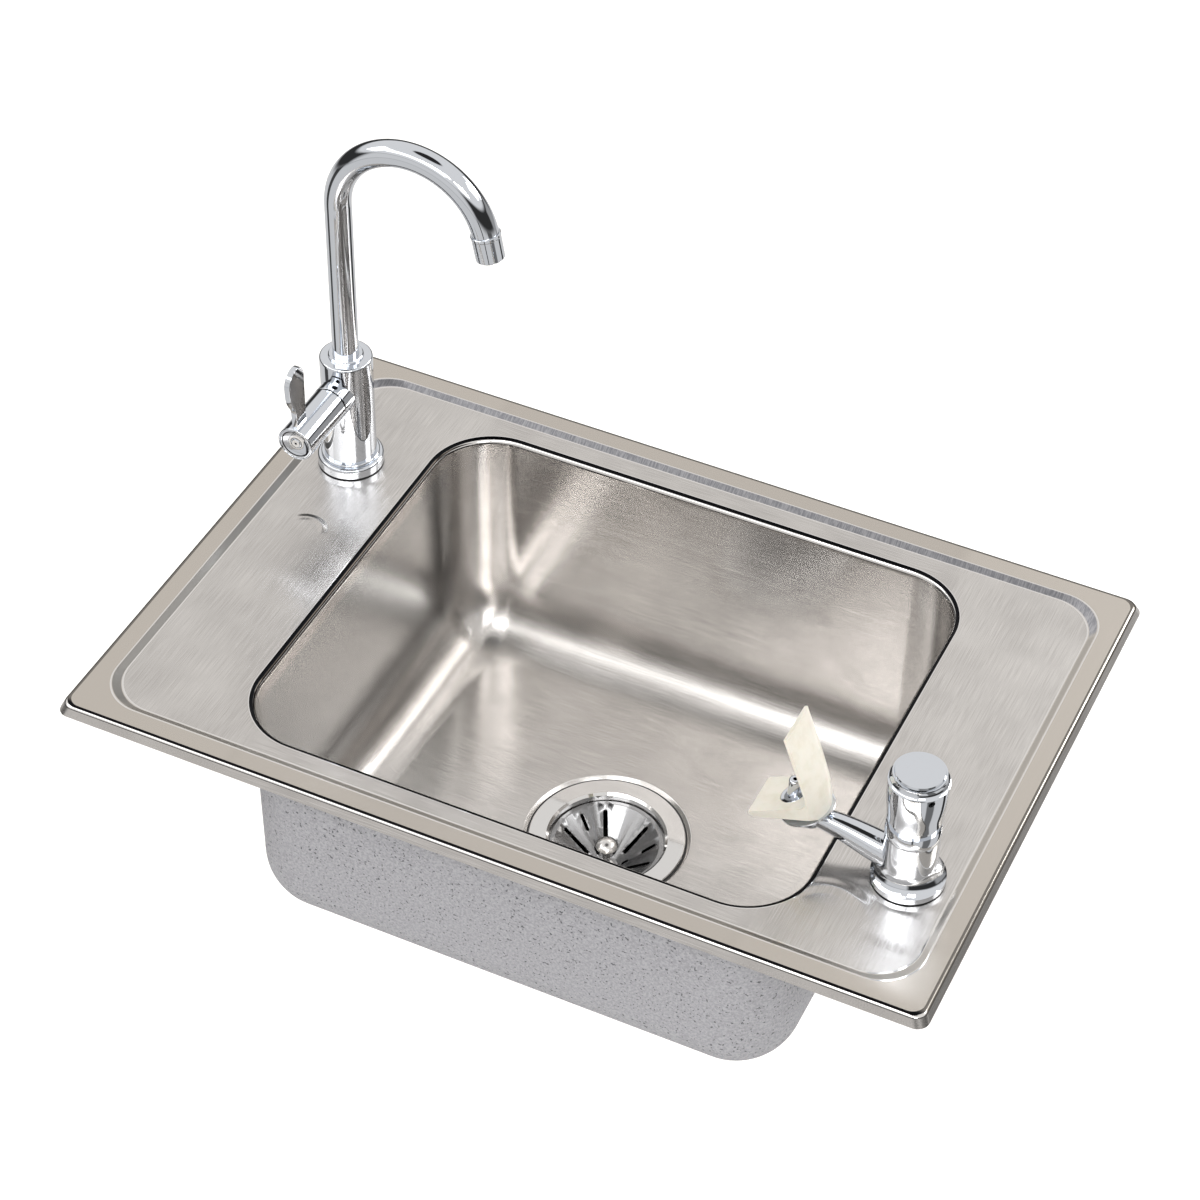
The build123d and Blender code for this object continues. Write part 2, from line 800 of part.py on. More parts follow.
def make_aerator_insert():
    end = spout_tail - aerator_overlap + aerator_length - 1.2
    body = rod(spout_tube_radius, spout_tail + open_gap, end)
    for ring_radius, count in ((0, 1), (3.0, 6), (6.0, 12)):
        hole = Pos(ring_radius, 0, 0) * rod(0.8, spout_tail - 1, end + 1)
        for copy in around(count, hole):
            body = body - copy
    return spout_end() * body


# Bubbler, built about the Z axis and moved to its place
bead_z = gasket_top + bead_start
neck_z = bead_z + bead_height
skirt_z = neck_z + button_travel + open_gap
barrel_z = gasket_top + barrel_height
bubbler_bore_z = gasket_top + bubbler_bore_start
cap_top_z = skirt_z + cap_height
cap_ceiling_z = cap_top_z - cap_roof
cap_bore_radius = neck_radius + open_gap
arm_origin_z = gasket_top + arm_start_height
arm_neck_height = arm_start_height + arm_neck_reach * tan(radians(arm_rise))
head_place = Pos(-head_reach, 0, gasket_top + head_height) * Rot(0, -head_tilt, 0)
bell_place = Pos(-bell_reach, 0, gasket_top + bell_height) * Rot(0, -bell_tilt, 0)
nozzle_place = head_place * Pos(nozzle_shift, 0, 0)


def seat_depth(along):
    """Depth of the bell's rim below the top of the guard's base, along the head's own axes."""
    drop = radians(head_tilt - bell_tilt)
    rim = head_place.inverse() * bell_place
    return -rim.position.Z + (along - rim.position.X) * tan(drop)


def arm_section(reach, height, rise, radius):
    """Circle square to the arm at a reach from the axis and a height above the gasket."""
    a = radians(rise)
    centre = (-reach, 0, gasket_top + height)
    return Plane(origin=centre, x_dir=(0, 1, 0), z_dir=(-cos(a), 0, sin(a))) * Circle(radius)


def make_arm():
    """Arm that leaves the body wide and narrows on its way to the round end under the bell."""
    root = bubbler_waist_radius * 0.45
    shoulder = bubbler_waist_radius + 5
    slope = tan(radians(arm_rise))
    end = bell_place * Pos(0, 0, -bell_flare_depth)
    end_height = end.position.Z - gasket_top
    end_rise = degrees(atan2(end_height - arm_neck_height, -end.position.X - arm_neck_reach))
    sections = [
        arm_section(root, arm_start_height + root * slope, arm_rise, arm_root_radius),
        arm_section(shoulder, arm_start_height + shoulder * slope, arm_rise, arm_root_radius - 0.6),
        arm_section(arm_neck_reach, arm_neck_height, (arm_rise + end_rise) / 2, arm_neck_radius),
        arm_section(-end.position.X, end_height, end_rise, bell_flare_depth - bell_rim / 2),
    ]
    return loft(sections)


def make_bell():
    """Trumpet-shaped seat of the guard, closed below by a round end that takes the arm."""
    r = bell_radius
    stem = bell_stem_radius
    depth = bell_flare_depth
    edge = Polyline((0, 0, 0), (r, 0, 0), (r, 0, -bell_rim))
    middle = (stem + 0.3 * (r - stem), 0, -bell_rim - 0.4 * (depth - bell_rim))
    flare = ThreePointArc((r, 0, -bell_rim), middle, (stem, 0, -depth))
    side = stem * sqrt(0.5)
    foot = ThreePointArc((stem, 0, -depth), (side, 0, -depth - side), (0, 0, -depth - stem))
    axis = Line((0, 0, -depth - stem), (0, 0, 0))
    return bell_place * spin_curve(Curve() + [edge, flare, foot, axis])


def make_bubbler_body():
    r = bubbler_base_radius
    waist_z = gasket_top + bubbler_waist_height
    w = bubbler_waist_radius
    side = Polyline((0, 0, gasket_top), (r, 0, gasket_top), (r, 0, gasket_top + bubbler_base_edge))
    flare = ThreePointArc(
        (r, 0, gasket_top + bubbler_base_edge),
        (w + 1.5, 0, gasket_top + bubbler_waist_height * 0.55),
        (w, 0, waist_z),
    )
    shaft = Line((w, 0, waist_z), (w, 0, bead_z))
    bead = ThreePointArc((w, 0, bead_z), (bead_radius, 0, bead_z + bead_height / 2), (w - 0.4, 0, neck_z))
    top = Polyline(
        (w - 0.4, 0, neck_z),
        (neck_radius, 0, neck_z),
        (neck_radius, 0, barrel_z),
        (0, 0, barrel_z),
        (0, 0, gasket_top),
    )
    body = spin_curve(Curve() + [side, flare, shaft, bead, top])
    body = body + make_arm() + make_bell()
    body = body - rod(bubbler_bore_radius, bubbler_bore_z, barrel_z)
    body = body - rod(waterway_radius, gasket_top, bubbler_bore_z)
    body = body - rod(shank_radius + face_gap, gasket_top - 1, shank_top)
    thread_low = -seat_depth(nozzle_shift) - nozzle_thread_grip
    thread = nozzle_place * rod(nozzle_thread_radius + face_gap, thread_low, 0)
    start = Vector(0, 0, arm_origin_z)
    run = (nozzle_place * Pos(0, 0, thread_low + arm_waterway_radius)).position - start
    water = Plane(origin=start, z_dir=run).location * rod(arm_waterway_radius, 0, run.length)
    return body - water - thread


def make_bubbler_cartridge():
    outer = bubbler_bore_radius - face_gap
    low = bubbler_bore_z
    bore = barrel_z - plunger_insertion - button_travel - open_gap
    return spin(
        (0, low),
        (outer, low),
        (outer, barrel_z),
        (plunger_radius + running_gap, barrel_z),
        (plunger_radius + running_gap, bore),
        (0, bore),
    )


def make_plunger():
    return rod(plunger_radius, barrel_z - plunger_insertion, cap_ceiling_z)


def make_return_spring():
    """Round-wire spring about the plunger, between the barrel and the roof of the cap."""
    low = barrel_z + spring_wire / 2 + open_gap / 2
    height = cap_ceiling_z - barrel_z - spring_wire - open_gap
    path = Pos(0, 0, low) * Helix(height / spring_coils, height, spring_radius)
    section = Plane(origin=path @ 0, z_dir=path % 0) * Circle(spring_wire / 2)
    return sweep(section, path=path, is_frenet=True)


def make_push_cap():
    shoulder_z = skirt_z + cap_shoulder_height
    w = cap_waist_radius
    waist_z = skirt_z + cap_waist_start
    bend = ((cap_skirt_radius, 0, skirt_z + 0.6), (w - 0.5, 0, waist_z), (w, 0, shoulder_z))
    skirt = Spline(*bend, tangents=((0.02, 0, 1), (0, 0, 1)))
    lid_radius = cap_disc_radius + 1.6
    lid_z = cap_top_z - 1.6
    shoulder = ThreePointArc((w, 0, shoulder_z), (w - 0.9, 0, cap_top_z - 8), (lid_radius, 0, lid_z))
    lid = Polyline(
        (lid_radius, 0, lid_z),
        (cap_disc_radius + 0.5, 0, lid_z),
        (cap_disc_radius, 0, cap_top_z),
        (0, 0, cap_top_z),
        (0, 0, cap_ceiling_z),
        (cap_bore_radius, 0, cap_ceiling_z),
        (cap_bore_radius, 0, skirt_z),
        (cap_skirt_radius - 0.6, 0, skirt_z),
        (cap_skirt_radius, 0, skirt_z + 0.6),
    )
    cap = spin_curve(Curve() + [skirt, shoulder, lid])
    return cap - cap_screw_place() * rod(cap_screw_radius + face_gap, cap_bore_radius - 2, w + 4)


def cap_screw_place():
    """Place of the small screw in the side of the cap, its Z axis pointing outwards."""
    return Pos(0, 0, skirt_z + cap_screw_height) * Rot(0, 0, cap_screw_turn) * Rot(0, 90, 0)


def make_cap_screw():
    top = cap_waist_radius - 0.5
    screw = rod(cap_screw_radius, cap_bore_radius, top)
    socket = Pos(0, 0, top - 1.2) * extrude(RegularPolygon(1.1, 6), 3)
    return cap_screw_place() * (screw - socket)


def guard_section(height, edge, crown):
    """Level section of the guard: straight sides and a back that bulges from the edge to the crown."""
    half = guard_width / 2
    front = -guard_lip_reach - 1
    sides = Polyline((edge, half), (front, half), (front, -half), (edge, -half))
    back = ThreePointArc((edge, -half), (crown, 0), (edge, half))
    return Pos(0, 0, height) * make_face(Curve() + [sides, back])


def make_mouth_guard():
    """Rubber guard: a level lip round the nozzle and a tall shield behind it."""
    foot = guard_shield_foot
    top = guard_shield_height
    lean = guard_shield_lean
    depth = seat_depth(foot)
    levels = (
        (-depth - 3, 0.0, -7.5, 1.5),
        (0.0, 0.0, 0.0, 7.6),
        (top * 0.5, 0.5, 2.4, 6.6),
        (top, 1.0, 2.4, 3.2),
    )
    sections = [
        guard_section(height, foot + lean * share + edge, foot + lean * share + crown)
        for height, share, edge, crown in levels
    ]
    block = loft(sections)

    wide = guard_width
    far = 4 * guard_lip_reach
    corners = ((-far, 0), (foot, 0), (foot + lean, top), (foot + 2 * lean, 2 * top), (-far, 2 * top))
    mouth = make_face(Polyline(*corners, close=True))
    mouth = fillet(mouth.vertices().sort_by_distance((foot, 0, 0))[0], guard_fold_radius)
    block = block - extrude(Plane.XZ * mouth, wide, both=True)

    tip = -guard_lip_reach
    flat = -guard_flat_reach
    low = -seat_depth(flat)
    under = Spline((tip, -guard_lip_thickness), (flat, low), tangents=((1, -0.5), (1, -0.16)))
    right = 2 * (foot + lean)
    seat = Polyline(
        (flat, low),
        (right, -seat_depth(right)),
        (right, -far),
        (2 * tip, -far),
        (2 * tip, 1),
        (tip, 1),
        (tip, -guard_lip_thickness),
    )
    block = block - extrude(Plane.XZ * make_face(Curve() + [under, seat]), wide, both=True)
    block = block - guard_chamfers()

    bore = rod(nozzle_flange_radius + face_gap, -nozzle_flange_thickness, 1)
    bore = bore + rod(nozzle_thread_radius + face_gap, -far, 1)
    return head_place * (block - Pos(nozzle_shift, 0, 0) * bore)


def guard_chamfers():
    """Wedges that take off the long edges under the guard, on the near and far sides."""
    c = guard_under_chamfer
    half = guard_width / 2
    near = half - 1.6 * c
    wedge = make_face(Polyline((near, 0), (half + c, 1.6 * c), (half + c, -c), (near, -c), close=True))
    bar = extrude(Plane.YZ * wedge, 3 * guard_lip_reach, both=True)
    tool = head_place.inverse() * bell_place * bar
    return tool + mirror(tool, Plane.XZ)


def make_nozzle():
    r = nozzle_thread_radius
    low = -seat_depth(nozzle_shift) - nozzle_thread_grip
    stem = rod(r, low, -nozzle_flange_thickness)
    dish = spin(
        (0, -nozzle_flange_thickness),
        (nozzle_flange_radius, -nozzle_flange_thickness),
        (nozzle_flange_radius, -0.4),
        (nozzle_flange_radius - 0.4, 0),
        (nozzle_flange_radius - 2.4, -0.5),
        (0, -0.5),
    )
    lean = Rot(0, head_tilt, 0)
    stub = extrude(Pos(0, 0, -1.2) * Circle(nozzle_tip_radius + 0.6), nozzle_height + 1.2, taper=2.5)
    stub = fillet(stub.edges().group_by(Axis.Z)[-1], 1.6)
    jet = rod(nozzle_orifice, 0, nozzle_height + 1)
    feed = rod(nozzle_orifice, low - 1, nozzle_orifice)
    return nozzle_place * (stem + dish + lean * stub - lean * jet - feed)


at_drain = Pos(drain_x, drain_y, 0)
at_faucet = Pos(faucet_x, faucet_y, 0)
at_bubbler = Pos(bubbler_x, bubbler_y, 0)

parts = {
    "sink_body": make_sink_body(),
    "sound_coat": make_sound_coat(),
    "rim_seal": make_rim_seal(),
    "mount_rails": make_mount_rails(),
    "drain_body": at_drain * make_drain_body(),
    "drain_gasket": at_drain * make_drain_gasket(),
    "friction_ring": at_drain * make_friction_ring(),
    "drain_locknut": at_drain * make_drain_locknut(),
    "tailpiece_washer": at_drain * make_tailpiece_washer(),
    "tailpiece": at_drain * make_tailpiece(),
    "coupling_nut": at_drain * make_coupling_nut(),
    "basket": at_drain * make_basket(),
    "basket_knob": at_drain * make_basket_knob(),
    "basket_stopper": at_drain * make_basket_stopper(),
    "faucet_gasket": at_faucet * make_fitting_gasket(base_radius),
    "faucet_base": at_faucet * make_faucet_base(),
    "faucet_body": at_faucet * make_faucet_body(),
    "bonnet_screw": at_faucet * make_bonnet_screw(),
    "valve_cartridge": at_faucet * make_valve_cartridge(),
    "cartridge_stem": at_faucet * make_cartridge_stem(),
    "handle": at_faucet * make_handle(),
    "handle_screw": at_faucet * make_handle_screw(),
    "handle_cap": at_faucet * make_handle_cap(),
    "spout": at_faucet * make_spout(),
    "spout_ferrule": at_faucet * make_spout_ferrule(),
    "spout_o_rings": at_faucet * make_spout_o_rings(),
    "spout_collar": at_faucet * make_spout_collar(),
    "aerator_housing": at_faucet * make_aerator_housing(),
    "aerator_insert": at_faucet * make_aerator_insert(),
    "faucet_shank": at_faucet * make_shank(shank_top),
    "faucet_washer": at_faucet * make_deck_washer(),
    "faucet_locknut": at_faucet * make_locknut(),
    "bubbler_gasket": at_bubbler * make_fitting_gasket(bubbler_base_radius),
    "bubbler_body": at_bubbler * make_bubbler_body(),
    "bubbler_cartridge": at_bubbler * make_bubbler_cartridge(),
    "plunger": at_bubbler * make_plunger(),
    "return_spring": at_bubbler * make_return_spring(),
    "push_cap": at_bubbler * make_push_cap(),
    "cap_screw": at_bubbler * make_cap_screw(),
    "mouth_guard": at_bubbler * make_mouth_guard(),
    "nozzle": at_bubbler * make_nozzle(),
    "bubbler_shank": at_bubbler * make_shank(shank_top),
    "bubbler_washer": at_bubbler * make_deck_washer(),
    "bubbler_locknut": at_bubbler * make_locknut(),
}

os.makedirs("parts", exist_ok=True)
for name, shape in parts.items():
    export_step(shape, f"parts/{name}.step")
    print(f"{name}: {shape.volume / 1000:.2f} cm3")
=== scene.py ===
from math import atan2, cos, pi, radians, sin, tan

import bpy
from mathutils import Matrix, Vector


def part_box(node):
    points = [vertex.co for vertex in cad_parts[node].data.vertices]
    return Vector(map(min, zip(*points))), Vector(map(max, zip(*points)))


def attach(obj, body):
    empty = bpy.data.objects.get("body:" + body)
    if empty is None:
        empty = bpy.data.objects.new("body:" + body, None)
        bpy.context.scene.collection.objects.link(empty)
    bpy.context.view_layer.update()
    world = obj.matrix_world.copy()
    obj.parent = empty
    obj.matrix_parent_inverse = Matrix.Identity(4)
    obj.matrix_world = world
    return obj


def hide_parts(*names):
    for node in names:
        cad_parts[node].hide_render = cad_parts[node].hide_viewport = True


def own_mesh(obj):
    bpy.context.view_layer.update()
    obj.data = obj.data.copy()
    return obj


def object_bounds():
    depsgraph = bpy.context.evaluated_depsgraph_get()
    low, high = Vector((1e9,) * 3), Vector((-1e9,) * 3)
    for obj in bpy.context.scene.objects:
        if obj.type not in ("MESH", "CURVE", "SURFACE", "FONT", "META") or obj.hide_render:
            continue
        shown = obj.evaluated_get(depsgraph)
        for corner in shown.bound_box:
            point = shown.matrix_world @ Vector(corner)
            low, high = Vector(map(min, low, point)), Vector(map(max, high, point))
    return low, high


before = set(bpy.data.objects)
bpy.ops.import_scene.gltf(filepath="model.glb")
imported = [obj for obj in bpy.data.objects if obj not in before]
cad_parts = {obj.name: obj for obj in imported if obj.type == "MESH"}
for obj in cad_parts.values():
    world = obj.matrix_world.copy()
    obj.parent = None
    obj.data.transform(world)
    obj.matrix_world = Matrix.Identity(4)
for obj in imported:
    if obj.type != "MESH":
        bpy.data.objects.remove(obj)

bl_info = {
    "name": "Classroom sink",
    "version": (1, 0, 0),
    "blender": (4, 5, 0),
    "location": "View3D > Sidebar > Sink",
    "description": "Dresses the packed classroom sink: sheet, drain, faucet, bubbler and studio",
    "category": "Object",
}

MM = 0.001
CAD_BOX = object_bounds()


def box(node):
    """Low corner, high corner and middle of a CAD node, in metres."""
    low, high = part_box(node)
    return low, high, (low + high) / 2


RIM_LOW, RIM_HIGH, RIM_MIDDLE = box("sink_body")
DRAIN_HIGH, DRAIN_MIDDLE = box("drain_body")[1:]
FAUCET_MIDDLE = box("faucet_base")[2]
BUBBLER_MIDDLE = box("bubbler_gasket")[2]
STEM_MIDDLE = box("cartridge_stem")[2]
SLEEVE_END = box("handle")[1].y
CAP_EDGE = box("handle_cap")[1].x - STEM_MIDDLE.x
BOWL_CENTRE = (DRAIN_MIDDLE.x, DRAIN_MIDDLE.y)
# Middles of the arcs that the press left in the deck
FAUCET_MARK = (FAUCET_MIDDLE.x + 6.6 * MM, FAUCET_MIDDLE.y - 83.3 * MM)
BUBBLER_MARK = (BUBBLER_MIDDLE.x - 37 * MM, BUBBLER_MIDDLE.y - 55 * MM)


# Sizes and colours that a user would change
def size(name, description, millimetres):
    """Length property, given in millimetres and kept in metres."""
    return bpy.props.FloatProperty(
        name=name, description=description, default=millimetres * MM, min=0.0, unit="LENGTH",
        precision=5,
    )


def linear(text):
    """Linear colour with full alpha from an sRGB hex value."""
    parts = [int(text[k:k + 2], 16) / 255 for k in (1, 3, 5)]
    straight = [c / 12.92 if c <= 0.04045 else ((c + 0.055) / 1.055) ** 2.4 for c in parts]
    return (*straight, 1.0)


def colour(name, description, text):
    """Colour property, given as an sRGB hex value."""
    return bpy.props.FloatVectorProperty(
        name=name, description=description, default=linear(text), size=4, min=0.0, max=1.0,
        subtype="COLOR",
    )


class SinkSheetSizes(bpy.types.PropertyGroup):
    flange_run: size("Flange run", "Width of the sloped flange at the rim's edge", 3.5)
    draw_in: size("Draw-in", "How far the left and back edges stay inside the CAD rim", 5.0)
    rim_corner: size("Rim corner", "Corner radius of the rim's outline", 9.0)
    crest: size("Crest radius", "Polished roll between the flange and the border", 3.5)
    border: size("Border", "Flat border inside the flange", 16.0)
    step_run: size("Step run", "Width of the step from the border down to the deck", 4.2)
    step_drop: size("Step drop", "Height of that step", 2.2)
    step_corner: size("Step corner", "Corner radius of the step", 32.0)
    thickness: size("Sheet", "Thickness of the steel", 1.2)
    bowl_length: size("Bowl length", "Inside of the bowl along the rim's long side", 404.0)
    bowl_width: size("Bowl width", "Inside of the bowl along the short side", 342.0)
    bowl_depth: size("Bowl depth", "From the deck to the bowl's floor", 185.4)
    bowl_corner: size("Bowl corner", "Radius of the bowl's upright corners", 46.0)
    bead: size("Bead radius", "Rolled and polished edge of the bowl", 5.0)
    floor_radius: size("Floor radius", "Rounding between the walls and the floor", 42.0)
    dish_radius: size("Dish radius", "Recess in the floor that takes the drain's flange", 58.7)
    dish_run: size("Dish run", "Width of the recess's slope", 2.6)
    dish_depth: size("Dish depth", "Depth of that recess", 2.4)
    drain_hole: size("Drain hole", "Radius of the hole in the floor", 44.6)
    deck_hole: size("Deck hole", "Radius of the hole under a fitting", 17.5)


class SinkFittingSizes(bpy.types.PropertyGroup):
    lever_edge: size("Lever edge", "Rounding of the lever's edges", 1.3)
    guard_edge: size("Guard edge", "Rounding of the mouth guard's edges", 0.9)
    slot_edge: size("Slot edge", "Rounding of the basket's slots", 0.22)
    cap_travel: size("Cap travel", "How far the bubbler's cap goes down", 5.0)


class SinkColours(bpy.types.PropertyGroup):
    steel: colour("Stainless", "Satin sheet of rim, deck and bowl", "#cfccc9")
    steel_dark: colour("Stainless, dark grain", "Darker grain lines in the sheet", "#b7b4b1")
    border: colour("Border", "Satin sheet outside the deck's step, warmer", "#bfb9b1")
    # Painted shade: the darker tone of the bowl's left end wall below the deck
    drawn: colour("Drawn wall", "End walls of the bowl, drawn deep and duller", "#b2b2b1")
    bright: colour("Polished stainless", "Bead of the bowl, drain flange, basket", "#dcdad8")
    chrome: colour("Chrome", "Plating of faucet and bubbler", "#d0d4da")
    flange: colour("Drain flange", "Mirror polish of the drain's flange", "#d6d5d4")
    # The step's colours by side are painted light and shade: the cool back, with scuffs that are
    # wear, the light right and front, and the dark left
    burnish_and_sheen: colour("Burnished step", "Back of the deck's step, scuffed", "#b8b8bc")
    burnish_dark: colour("Burnished step, scuffs", "Darker scuffs there", "#8f9096")
    rubbed: colour("Rubbed step", "Right and front of the deck's step", "#cdc8c1")
    step_left_shade: colour("Rubbed step, left", "Left of the deck's step", "#8d8b88")
    # The roll is only darker away from the front; the line colour paints dark reflection lines on
    # the roll, black at the front
    roll: colour("Roll", "Roll of the rim away from the front, less worn by the wheel", "#97928b")
    roll_shade_line: colour("Roll line", "Line along the roll there", "#7b7772")
    # Painted shade: the dark brown of the bead where it faces +X and upwards
    bead_left_shade: colour("Bead, left", "Left side of the bowl's bead, brown from the wheel", "#2a2622")
    basket: colour("Basket", "Brushed cone of the strainer", "#8f8f90")
    # Painted shade: the near black of the drain body's inside below the basket
    drain_inside_shade: colour("Drain's inside", "Dull steel below the basket", "#3c3b3a")
    coat: colour("Sound coat", "Sprayed coat on the bowl's outside", "#8c8c90")
    coat_light: colour("Sound coat, light", "Lighter pebbles of the coat", "#9f9fa3")
    coat_speck: colour("Coat specks", "Dark specks in the coat", "#414247")
    guard: colour("Mouth guard", "Ivory rubber", "#dad6cb")
    guard_shade: colour("Mouth guard, shade", "Faint mottling of the ivory", "#d2cdbe")
    # The black rubber colour also paints the dark lines on the bead and roll and the seams' painted
    # shade
    rubber: colour("Black rubber", "Gaskets, O-rings and stopper", "#17181a")
    # Putty also fills the drain's recess in the sheet, where its dark is partly painted shade round
    # the flange
    putty: colour("Putty", "Butyl strip and the drain's seat", "#2c2c2d")
    wire: colour("Wire", "Spring wire", "#b4b4b6")
    zinc: colour("Zinc", "Plated rails, washers and nut", "#b8bbbe")
    brass: colour("Brass", "Shanks, nuts and valves", "#c6a66a")
    plastic: colour("White plastic", "Washers and aerator", "#e9e7e0")
    floor: colour("Floor", "Pale studio floor", "#f4f3f1")


# Nodes and materials
def add(tree, kind, sockets=(), **settings):
    """Adds a shader node, sets its options and fills its sockets, by name or in order, with values,
    with other nodes' outputs, or with nodes, which give their first live output."""
    made = tree.nodes.new("ShaderNode" + kind)
    for name, value in settings.items():
        setattr(made, name, value)
    pairs = sockets.items() if isinstance(sockets, dict) else enumerate(sockets)
    for name, value in pairs:
        if isinstance(value, bpy.types.Node):
            value = next(out for out in value.outputs if out.enabled)
        if isinstance(value, bpy.types.NodeSocket):
            tree.links.new(value, made.inputs[name])
        else:
            made.inputs[name].default_value = value
    return made


SMOOTH = {"interpolation_type": "SMOOTHSTEP"}
RGBA = {"data_type": "RGBA"}
# A Mix node has an A and a B input for each type of data, at these places
FLOAT_A, FLOAT_B, VECTOR_A, VECTOR_B, COLOUR_A, COLOUR_B = range(2, 8)


def new_material(name, sockets):
    """Material with a Principled shader, whose sockets are filled from a function of its tree."""
    material = bpy.data.materials.new(name)
    material.use_nodes = True
    tree = material.node_tree
    tree.nodes.clear()
    shader = add(tree, "BsdfPrincipled", sockets(tree))
    add(tree, "OutputMaterial", {"Surface": shader})
    return material


def object_place(tree):
    return add(tree, "TexCoord").outputs["Object"]


def cells(tree, place, size, detail=2.0, roughness=0.5):
    """Cloudy pattern from 0 to 1. Its cells have a real size in metres, or one along each axis."""
    lengths = size if isinstance(size, tuple) else (size,) * 3
    scale = tuple(1 / length for length in lengths)
    spread = add(tree, "VectorMath", (place, scale), operation="MULTIPLY")
    settings = {"Vector": spread, "Scale": 1, "Detail": detail, "Roughness": roughness}
    return add(tree, "TexNoise", settings)


def from_point(tree, place, point, keep):
    """Vector from a point to the place, with only the kept axes."""
    away = add(tree, "VectorMath", (place, tuple(point)), operation="SUBTRACT")
    return add(tree, "VectorMath", (away, keep), operation="MULTIPLY")


def pressed_arc(tree, place, centre, radius, width, middle, reach):
    """Height of a shallow arc pressed into the deck: a ridge at a radius that fades off to both
    sides of its middle, all there within a third of its reach. Both angles are in degrees."""
    away = from_point(tree, place, (*centre, 0), (1, 1, 0))
    length = add(tree, "VectorMath", (away,), operation="LENGTH")
    off = add(tree, "Math", (length, radius), operation="SUBTRACT")
    off = add(tree, "Math", (off,), operation="ABSOLUTE")
    ridge = add(tree, "MapRange", (off, 0, width, 1, 0), **SMOOTH)
    aim = (cos(radians(middle)), sin(radians(middle)), 0)
    along = add(tree, "VectorMath", (away, aim), operation="DOT_PRODUCT")
    share = add(tree, "Math", (along, length), operation="DIVIDE")
    outer, inner = cos(radians(reach)), cos(radians(reach * 0.3))
    near = add(tree, "MapRange", (share, outer, inner, 0, 1), **SMOOTH)
    return add(tree, "Math", (ridge, near), operation="MULTIPLY")


def satin_stainless(sizes, colours):
    """Stainless sheet, 304, belt-ground to a satin grain: long fine lines that draw each highlight
    out across them. The grain runs along the rim's long side, and front to back on the two side
    decks and the bowl's end walls. Real grit lines are 0.1 mm wide; they are drawn 0.6 mm wide to
    show. The border outside the step is warmer. The bowl's end wall that faces +X, on its left, is
    painted darker below the deck: painted shade."""

    def sockets(tree):
        place = object_place(tree)
        parts = add(tree, "SeparateXYZ", (place,)).outputs
        off = add(tree, "Math", (parts["X"], BOWL_CENTRE[0]), operation="SUBTRACT")
        off = add(tree, "Math", (off,), operation="ABSOLUTE")
        edge = sizes.bowl_length / 2
        side = add(tree, "MapRange", (off, edge - 30 * MM, edge - 8 * MM, 0, 1), **SMOOTH)
        grain = {"Factor": side, VECTOR_A: (1, 0, 0), VECTOR_B: (0, 1, 0)}
        grain = add(tree, "Mix", grain, data_type="VECTOR")
        normal = add(tree, "NewGeometry").outputs["Normal"]
        across = add(tree, "VectorMath", (normal, grain), operation="CROSS_PRODUCT")
        across = add(tree, "VectorMath", (across,), operation="NORMALIZE")

        fine, run = 0.6 * MM, 30 * MM
        along_x = cells(tree, place, (run, fine, fine), 3.0, 0.6)
        along_y = cells(tree, place, (fine, run, fine), 3.0, 0.6)
        lines = add(tree, "Mix", {"Factor": side, FLOAT_A: along_x, FLOAT_B: along_y})
        cloud = cells(tree, place, 45 * MM)
        tone = add(tree, "Mix", {"Factor": 0.35, FLOAT_A: lines, FLOAT_B: cloud})
        tone = add(tree, "MapRange", (tone, 0.3, 0.7, 0, 1), **SMOOTH)
        base = {"Factor": tone, COLOUR_A: colours.steel_dark, COLOUR_B: colours.steel}
        base = add(tree, "Mix", base, **RGBA)
        raised = (parts["Z"], RIM_HIGH.z - 1.5 * MM, RIM_HIGH.z - 0.5 * MM, 0, 1)
        raised = add(tree, "MapRange", raised, **SMOOTH)
        base = {"Factor": raised, COLOUR_A: base, COLOUR_B: colours.border}
        base = add(tree, "Mix", base, **RGBA)
        # Painted shade: the wall facing +X, the bowl's left end wall, darkens from 5 mm below the
        # deck, fully by 15 mm
        facing = add(tree, "SeparateXYZ", (normal,)).outputs["X"]
        facing = add(tree, "MapRange", (facing, 0.9, 0.99, 0, 1), **SMOOTH)
        deep = add(tree, "MapRange", (parts["Z"], -15 * MM, -5 * MM, 1, 0), **SMOOTH)
        wall = add(tree, "Math", (facing, deep), operation="MULTIPLY")
        base = {"Factor": wall, COLOUR_A: base, COLOUR_B: colours.drawn}
        base = add(tree, "Mix", base, **RGBA)

        faucet_mark = pressed_arc(tree, place, FAUCET_MARK, 14 * MM, 4 * MM, 80, 75)
        bubbler_mark = pressed_arc(tree, place, BUBBLER_MARK, 27 * MM, 8 * MM, 95, 80)
        marks = add(tree, "Math", (bubbler_mark, 0.8, faucet_mark), operation="MULTIPLY_ADD")
        deck = add(tree, "MapRange", (parts["Z"], -2 * MM, 2 * MM, 0, 1), **SMOOTH)
        marks = add(tree, "Math", (marks, deck), operation="MULTIPLY")
        dents = add(tree, "Bump", {"Height": marks, "Strength": 1, "Distance": 1.2 * MM})
        scratches = {"Height": lines, "Strength": 0.25, "Distance": 0.03 * MM, "Normal": dents}
        return {
            "Base Color": base,
            "Metallic": 1,
            "Roughness": add(tree, "Math", (lines, 0.08, 0.20), operation="MULTIPLY_ADD"),
            "Anisotropic": 0.78,
            "Tangent": across,
            "Normal": add(tree, "Bump", scratches),
        }

    return new_material("stainless_satin_ground", sockets)


